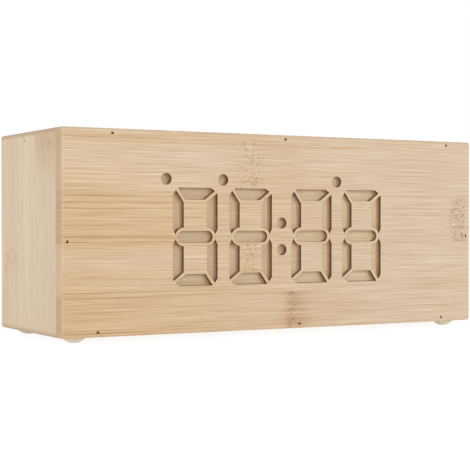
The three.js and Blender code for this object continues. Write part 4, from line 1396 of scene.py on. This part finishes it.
def ribbon_path():
    """Points of the strip's middle with their upward sides, from the front socket to the rear one."""
    top, bottom = high.z - wire_radius, low.z + wire_radius
    turns = [math.pi / 2 * i / bend_steps for i in range(bend_steps + 1)]
    sides = [Vector((0, math.sin(a), math.cos(a))) for a in turns]
    first = Vector((0, low.y + ribbon_lead, top - ribbon_bend))
    second = Vector((0, high.y - ribbon_lead, bottom + ribbon_bend))
    return [
        (Vector((0, low.y, top)), sides[0]),
        *[(first + side * ribbon_bend, side) for side in sides],
        *[(second - side * ribbon_bend, side) for side in reversed(sides)],
        (Vector((0, high.y, bottom)), sides[0]),
    ]


def ribbon_section():
    """(x, height) points round the strip, with a swell for each wire."""
    points = []
    for i in range(wire_count * wire_steps + 1):
        swell = abs(math.sin(math.pi * i / wire_steps))
        points.append((low.x + wire_pitch * i / wire_steps, web_half + (wire_radius - web_half) * swell))
    return points + [(x, -half) for x, half in reversed(points)]


ribbon_shape = bmesh.new()
section = ribbon_section()
rings = [
    [ribbon_shape.verts.new(point + side * half + Vector((x, 0, 0))) for x, half in section]
    for point, side in ribbon_path()
]
ribbon_shape.faces.new(rings[0])
ribbon_shape.faces.new(rings[-1])
for near, far in zip(rings, rings[1:]):
    for i in range(len(section)):
        ribbon_shape.faces.new((near[i], near[i - 1], far[i - 1], far[i]))
strip_vinyl = Finish("strip_vinyl")
red_edge = (low.x + wire_pitch) / mm
from_left = strip_vinyl.split(strip_vinyl.place)[X]
first_wire = strip_vinyl.rise(from_left, red_edge + edge_blur, red_edge - edge_blur)
dust = strip_vinyl.speckle(0.8)
vinyl_shade = strip_vinyl.blend(dust, 0.35, 0.65, "96969a", "a6a6a8")
vinyl_shade = strip_vinyl.mix(first_wire, vinyl_shade, colour("a8413a"))
strip_vinyl.cover(vinyl_shade, strip_vinyl.span(dust, 0.3, 0.7, 0.5, 0.62), dust, relief=0.02 * mm)
ribbon = piece("flat_cable", ribbon_shape, strip_vinyl.material)
fit(ribbon, "casing", "ribbon", "ribbon_cable")

# Rear board: bamboo with its grain along the clock, set in behind the other boards and screwed to the
# corner blocks. It is drilled for the buttons, the socket and the buzzer's sound, and the battery case
# fills its window.
sound_hole = 1.6 * mm
sound_ring = 3.6 * mm
sound_ring_holes = 6
hole_room = 0.3 * mm
hole_edge = 0.2 * mm
flange_reach = 4 * mm
rear_low, rear_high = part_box("rear_panel")
case_low, case_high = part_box("battery_case")
case_middle = middle("battery_case")
tray_half_x = (case_high.x - case_low.x) / 2 - flange_reach
tray_half_z = (case_high.z - case_low.z) / 2
window = rectangle(
    case_middle.x - tray_half_x - hole_room,
    case_middle.x + tray_half_x + hole_room,
    case_low.z - hole_room,
    case_high.z + hole_room,
)


def drilled(place, radius, x=0.0, z=0.0):
    """The way of a drill through the rear board, beside a place."""
    return prism(circle(place.x + x, place.z + z, radius), rear_low.y - overrun, rear_high.y + overrun)


def sink(place):
    """The way of a drill and a countersink through the rear board."""
    head, shank = (flat_head[0] + hole_room) / 2, flat_shank / 2 + hole_room
    front = rear_low.y - rear_high.y - overrun
    profile = [(0, front), (shank, front), (shank, -flat_head[1]), (head, 0), (head, overrun), (0, overrun)]
    return moved(lathe(profile), (place.x, rear_high.y, place.z))


sound_turns = [math.tau * i / sound_ring_holes for i in range(sound_ring_holes)]
holes = [
    drilled(middle("power_socket"), nose + hole_room),
    *[drilled(middle(f"button_{key}"), button_diameter / 2 + hole_room) for key in ("set", "up", "down")],
    drilled(middle("buzzer"), sound_hole / 2),
    *[
        drilled(middle("buzzer"), sound_hole / 2, sound_ring * math.cos(a), sound_ring * math.sin(a))
        for a in sound_turns
    ],
]
sinks = [sink(middle(f"rear_screw_{i + 1}")) for i in range(4)]
rear_shape = carved(
    box_body(rear_low, rear_high),
    [prism(window, rear_low.y - overrun, rear_high.y + overrun), joined(holes), joined(sinks)],
)
round_off(rear_shape, rims(rear_shape, rear_high.y), hole_edge)
rear_bamboo = bamboo(
    "rear_bamboo",
    along=X,
    across=Z,
    origin=front_origin,
    first_line=4,
    pale="ead7ba",
    warm="e0c399",
    warmths=[(0, 0.5), (4, 0.7), (20, 0.6), (23, 0.9), (38, 0.8), (41, 0.4), (55, 0.5), (58, 0.7)],
    lines=[(8.1, 0.4), (16.4, 0.3), (23.5, 0.8), (27.3, 0.5), (33.0, 0.7), (47.5, 0.3), (60.2, 0.4)],
    reach=260,
    knuckles=[
        Knuckle(24, 21.5, 39, 7, 0.35, "dcc0a6", core=3, fleck=0.5, size=(1.1, 0.7)),
        Knuckle(83, 39, 56.5, 8, 0.3, "e0c8ac", core=5, fleck=0.4, size=(0.9, 0.8)),
        Knuckle(160, 4, 21.5, 6, 0.4, "dcc0a6", core=2.5, fleck=0.5, dash="c0a084", size=(0.8, 0.7)),
    ],
    seed=120,
)
rear_board = piece("rear_board", rear_shape, rear_bamboo)
level_faces(rear_board)
fit(rear_board, "casing", "bamboo", "rear_panel")

# Battery case: a black moulded tray with three troughs, let into the rear board's window and held by a
# flange behind it. Its ledge carries the door, with slots for the door's tabs and a notch for its latch.
case_wall = 3 * mm
case_ledge = 1.2 * mm
flange_thickness = 1.6 * mm
cell_count = 3
cell_diameter = 10.5 * mm
cell_pitch = 12 * mm
contact_thickness = 0.4 * mm
door_thickness = 1.8 * mm
tab_thickness = 0.9 * mm
tab_length = 1.4 * mm
tab_width = 8 * mm
tab_spread = 30 * mm
tab_swing = 0.8 * mm
latch_width = 9 * mm
latch_reach = 1 * mm
case_edge = 0.25 * mm
slot_drop = 0.2 * mm
land_drop = 0.5 * mm
case_face = case_high.y
cell_y = middle("battery_1").y
trough_radius = cell_diameter / 2 + hole_room
inner_half_x = tray_half_x - case_wall
inner_half_z = tray_half_z - case_wall
seat_half_x = inner_half_x + case_ledge
seat_half_z = inner_half_z + case_ledge
door_half_x = seat_half_x - hole_room
door_half_z = seat_half_z - hole_room
door_back = case_face - door_thickness
cell_rows = [(i - (cell_count - 1) / 2) * cell_pitch for i in range(cell_count)]


def about_case(xs, zs, ys, x=0.0):
    """A box between places in X and Z from the battery case's middle, moved by x, and two depths.

    Its corners are added up as vectors, as the troughs' are when they move, so that ends which should
    meet fall on one plane exactly and the cuts leave no slivers."""
    centre = Vector((case_middle.x + x, 0, case_middle.z))
    low, high = (centre + Vector(corner) for corner in zip(xs, ys, zs))
    return box_body(low, high)


def both_ways(half):
    return (-half, half)


def pair_about_case(half, zs, ys, x):
    """Two like boxes, as far to the left of the case's middle as to the right."""
    return joined([about_case(both_ways(half), zs, ys, x=side * x) for side in (-1, 1)])


def trough(z):
    """A round trough along X."""
    half, radius = inner_half_x, trough_radius
    shape = lathe([(0, -half), (radius, -half), (radius, half), (0, half)])
    return moved(turned(shape, -math.pi / 2, "Z"), (case_middle.x, cell_y, case_middle.z + z))


def battery_tray():
    flange_half_x = tray_half_x + flange_reach
    tray = about_case(both_ways(tray_half_x), both_ways(tray_half_z), (case_low.y, case_face))
    flange_depths = (rear_low.y - flange_thickness, rear_low.y)
    flange = about_case(both_ways(flange_half_x), both_ways(tray_half_z), flange_depths)
    past = case_face + overrun
    contact_half = (contact_thickness + hole_room) / 2
    contact_slots = pair_about_case(
        contact_half,
        both_ways(inner_half_z),
        (cell_y - trough_radius - slot_drop, case_face),
        x=inner_half_x - contact_half,
    )
    tab_slots = pair_about_case(
        tab_width / 2 + hole_room,
        (-door_half_z - tab_length - hole_room, overrun - inner_half_z),
        (door_back - tab_swing, door_back + tab_thickness + hole_room),
        x=tab_spread / 2,
    )
    notch = about_case(
        both_ways(latch_width / 2 + hole_room),
        (0, door_half_z + latch_reach + hole_room),
        (door_back, past),
    )
    cutters = [
        about_case(both_ways(inner_half_x), both_ways(inner_half_z), (cell_y - land_drop, past)),
        joined([trough(z) for z in cell_rows]),
        contact_slots,
        about_case(both_ways(seat_half_x), both_ways(seat_half_z), (door_back, past)),
        tab_slots,
        notch,
    ]
    shape = carved(fused([tray, flange]), cutters)
    round_off(shape, rims(shape, case_face), case_edge, steps=3, clamp_overlap=True)
    return shape


tray = piece("battery_tray", battery_tray(), black_moulding.material)
level_faces(tray)
fit(tray, "casing", "black_plastic", "battery_case")

# Contacts: nickel-plated spring steel, slipped into the ends of the case. A coil presses on each cell's
# flat end and a bump meets its button, and two long plates link the cells in a row.
contact_side = 9 * mm
contact_edge = 0.08 * mm
bump_diameter = 3 * mm
bump_height = 0.2 * mm
bump_round = 0.7 * mm
spring_length = 4.4 * mm
spring_base_radius = 3.7 * mm
spring_tip_radius = 2.1 * mm
spring_wire = 0.5 * mm
spring_turns = 4
spring_steps = 32
wire_sides = 10
bright_nickel = mottled(
    "bright_nickel",
    waves=0.9,
    dark="bfbdb4",
    light="d2cfc6",
    sheen=(0.22, 0.38),
    relief=0.01 * mm,
    Metallic=1.0,
)


def coil():
    """A cone of wire about the X axis, from its plate at X = 0 towards +X."""
    shape = bmesh.new()
    start = contact_thickness / 2
    rise = spring_length + contact_thickness - spring_wire / 2 - start
    rings = []
    for i in range(spring_turns * spring_steps + 1):
        share = i / (spring_turns * spring_steps)
        angle = math.tau * spring_turns * share
        radius = spring_base_radius + (spring_tip_radius - spring_base_radius) * share
        outward = Vector((0, math.cos(angle), math.sin(angle)))
        centre = outward * radius + Vector((start + rise * share, 0, 0))
        ring = []
        for j in range(wire_sides):
            turn = math.tau * j / wire_sides
            aside = outward * math.cos(turn) + Vector((math.sin(turn), 0, 0))
            ring.append(shape.verts.new(centre + aside * spring_wire / 2))
        rings.append(ring)
    shape.faces.new(rings[0])
    shape.faces.new(rings[-1])
    for near, far in zip(rings, rings[1:]):
        for j in range(wire_sides):
            shape.faces.new((near[j], near[j - 1], far[j - 1], far[j]))
    bmesh.ops.recalc_face_normals(shape, faces=shape.faces[:])
    return shape


def contact(end, rows, spring_row=None, bump_row=None):
    """A plate at one end of the case over some rows of cells, with its spring and bump."""
    wall = case_middle.x + end * inner_half_x
    half_z = (len(rows) - 1) * cell_pitch / 2 + contact_side / 2
    middle_z = case_middle.z + sum(cell_rows[row] for row in rows) / len(rows)
    low_x, high_x = sorted((wall, wall - end * contact_thickness))
    plate = box_body(
        Vector((low_x, cell_y - contact_side / 2, middle_z - half_z)),
        Vector((high_x, cell_y + contact_side / 2, middle_z + half_z)),
    )
    ease_sharp_edges(plate, contact_edge)
    parts = [plate]
    turn = math.pi if end > 0 else 0
    if spring_row is not None:
        place = (wall, cell_y, case_middle.z + cell_rows[spring_row])
        parts.append(moved(turned(coil(), turn, "Z"), place))
    if bump_row is not None:
        place = (wall, cell_y, case_middle.z + cell_rows[bump_row])
        dome = quarter(bump_diameter / 2, contact_thickness, bump_round, bump_height)
        bump = lathe([(0, 0), *dome, (0, contact_thickness + bump_height)])
        parts.append(moved(turned(bump, turn - math.pi / 2, "Z"), place))
    return joined(parts)


for name, shape in {
    "positive": contact(1, [0], bump_row=0),
    "lower_link": contact(-1, [0, 1], spring_row=0, bump_row=1),
    "upper_link": contact(1, [1, 2], spring_row=1, bump_row=2),
    "negative": contact(-1, [2], spring_row=2),
}.items():
    made = piece(f"terminal_{name}", shape, bright_nickel)
    level_faces(made)
    fit(made, "casing", "contact_nickel", f"contact_{name}")

# Cells: three small dry cells, steel cans in plain grey shrink film with a dark band at the flat end. Each
# lies the other way round from its neighbour, with its ends bare.
cell_button = 3.8 * mm
cell_button_height = 0.9 * mm
cell_button_foot = 0.2 * mm
cell_button_round = 0.3 * mm
cell_shoulder = 0.5 * mm
film_reach = 4.75 * mm
film_band = 9 * mm
film_band_blur = 0.2
cell_film = Finish("cell_film", Metallic=0.35, Coat_Weight=0.3, Coat_Roughness=0.2)
from_flat = cell_film.split(cell_film.place)[Y]
band_share = cell_film.rise(from_flat, film_band / mm, film_band / mm - film_band_blur)
crinkle = cell_film.speckle(0.5)
film_shade = cell_film.blend(crinkle, 0.35, 0.65, "82878e", "969ba2")
film_shade = cell_film.mix(band_share, film_shade, colour("3a3d42"))
cell_film.cover(film_shade, cell_film.span(crinkle, 0.3, 0.7, 0.32, 0.45), crinkle, relief=0.03 * mm)
for i in range(cell_count):
    low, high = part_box(f"battery_{i + 1}")
    length = high.x - low.x
    can, button = cell_diameter / 2, cell_button / 2
    top = length - cell_button_height
    cell_shape = lathe(
        [
            (0, 0),
            *lower_rim(can, 0, cell_shoulder),
            *upper_rim(can, top, cell_shoulder),
            *lower_rim(button, top, -cell_button_foot),
            *upper_rim(button, length, cell_button_round),
            (0, length),
        ]
    )
    for face in cell_shape.faces:
        centre = face.calc_center_median()
        if math.hypot(centre.x, centre.z) < film_reach:
            face.material_index = 1
    cell = piece(f"cell_{i + 1}", cell_shape, cell_film.material, bright_nickel)
    faces_right = i % 2 == 0
    cell.location = (low.x if faces_right else high.x, cell_y, (low.z + high.z) / 2)
    cell.rotation_euler = (0, 0, -math.pi / 2 if faces_right else math.pi / 2)
    fit(cell, "casing", "cell_wrap", f"battery_{i + 1}")

# Battery door: a flat black moulding that closes flush. Two tabs hook under the case's lower rim, and a
# sprung tongue between two slots ends in the latch, with grooves for the thumbnail.
latch_slot_width = 0.9 * mm
latch_slot_length = 8 * mm
grip_grooves = 3
grip_pitch = 1.6 * mm
grip_width = 0.7 * mm
grip_depth = 0.5 * mm
grip_length = 6 * mm
grip_drop = 1.6 * mm
door_edge = 0.2 * mm


def battery_door():
    thickness = (door_back, case_face)
    plate = about_case(both_ways(door_half_x), both_ways(door_half_z), thickness)
    tabs = pair_about_case(
        tab_width / 2,
        (-door_half_z - tab_length, overrun - door_half_z),
        (door_back, door_back + tab_thickness),
        x=tab_spread / 2,
    )
    latch_zs = (door_half_z - overrun, door_half_z + latch_reach)
    latch = about_case(both_ways(latch_width / 2), latch_zs, thickness)
    slots = pair_about_case(
        latch_slot_width / 2,
        (door_half_z - latch_slot_length, door_half_z + overrun),
        (door_back - overrun, case_face + overrun),
        x=(latch_width + latch_slot_width) / 2,
    )
    tops = [door_half_z - grip_drop - i * grip_pitch for i in range(grip_grooves)]
    groove_depths = (case_face - grip_depth, case_face + overrun)
    grooves = [
        about_case(both_ways(grip_length / 2), (top - grip_width, top), groove_depths) for top in tops
    ]
    shape = carved(fused([plate, tabs, latch]), [slots, joined(grooves)])
    round_off(shape, rims(shape, case_face), door_edge, steps=3, clamp_overlap=True)
    return shape


door = piece("case_door", battery_door(), black_moulding.material)
level_faces(door)
fit(door, "door", "black_plastic", "battery_door")

# The photograph's view: a long lens stands before the clock and to its left, a little above the middle of
# the front, and looks almost level at it.
camera_place = Vector((-247.6, -424.4, 40.05)) * mm
camera_turn = math.radians(29.891)
camera_dip = math.radians(0.501)
camera_near = 10 * mm
focal_length = 98.82
lens_data = bpy.data.cameras.new("camera")
lens_data.lens = focal_length
lens_data.clip_start = camera_near
camera = bpy.data.objects.new("camera", lens_data)
camera.location = camera_place
camera.rotation_euler = (math.pi / 2 - camera_dip, 0, -camera_turn)
bpy.context.scene.collection.objects.link(camera)
bpy.context.scene.camera = camera
bpy.context.scene.view_settings.view_transform = "Standard"

# Studio: a white floor that takes the clock's shadow, a pale surround, and a soft lamp in front, one at the
# left and one behind. What the camera sees of the floor and the surround is lighter than their light.
floor_half = 3.0
lit_floor = {"grey": 0.8, "glow": 0.25}
seen_floor = {"grey": 0.25, "glow": 0.88}
surround_light = 0.45
seen_surround = 1


def studio_node(tree, kind, **values):
    made = tree.nodes.new(f"ShaderNode{kind}")
    for name, value in values.items():
        made.inputs[name].default_value = value
    return made


def white_ground(tree, grey, glow):
    """Matt grey that takes shadows, with a glow of its own."""
    matt = studio_node(tree, "BsdfDiffuse", Color=(grey, grey, grey, 1))
    lit = studio_node(tree, "Emission", Strength=glow)
    both = studio_node(tree, "AddShader")
    tree.links.new(matt.outputs[0], both.inputs[0])
    tree.links.new(lit.outputs[0], both.inputs[1])
    return both


def show(tree, lighting, seen, output):
    """One shader for light, and another for the camera, also in a reflection or through silicone."""
    path = studio_node(tree, "LightPath")
    looking = path.outputs["Is Camera Ray"]
    for ray in ("Is Glossy Ray", "Is Transmission Ray"):
        either = studio_node(tree, "Math")
        either.operation = "MAXIMUM"
        tree.links.new(looking, either.inputs[0])
        tree.links.new(path.outputs[ray], either.inputs[1])
        looking = either.outputs[0]
    choice = studio_node(tree, "MixShader")
    for source, socket in zip((looking, lighting.outputs[0], seen.outputs[0]), choice.inputs):
        tree.links.new(source, socket)
    tree.links.new(choice.outputs[0], studio_node(tree, output).inputs["Surface"])


floor_shape = bmesh.new()
bmesh.ops.create_grid(floor_shape, x_segments=1, y_segments=1, size=floor_half)
floor_white = bpy.data.materials.new("floor_white")
floor_white.use_nodes = True
tree = floor_white.node_tree
tree.nodes.clear()
show(tree, white_ground(tree, **lit_floor), white_ground(tree, **seen_floor), "OutputMaterial")
floor = piece("floor", floor_shape, floor_white)

world = bpy.data.worlds.new("surround")
bpy.context.scene.world = world
world.use_nodes = True
tree = world.node_tree
tree.nodes.clear()
soft_light = studio_node(tree, "Background", Color=(1, 1, 1, 1), Strength=surround_light)
white = studio_node(tree, "Background", Color=(1, 1, 1, 1), Strength=seen_surround)
show(tree, soft_light, white, "OutputWorld")

clock_middle = (casing_low + casing_high) / 2
for name, place, size, watts in (
    ("front_lamp", Vector((-0.12, -1.25, 0.3)), 0.5, 5.5),
    ("left_lamp", Vector((-1.25, 0.15, 0.35)), 0.8, 5.1),
    ("right_rear_lamp", Vector((0.8, 0.95, 0.6)), 0.8, 7.0),
):
    light = bpy.data.lights.new(name, "AREA")
    light.size = size
    light.energy = watts
    lamp = bpy.data.objects.new(name, light)
    lamp.location = place
    lamp.rotation_euler = (clock_middle - place).to_track_quat("-Z", "Y").to_euler()
    bpy.context.scene.collection.objects.link(lamp)
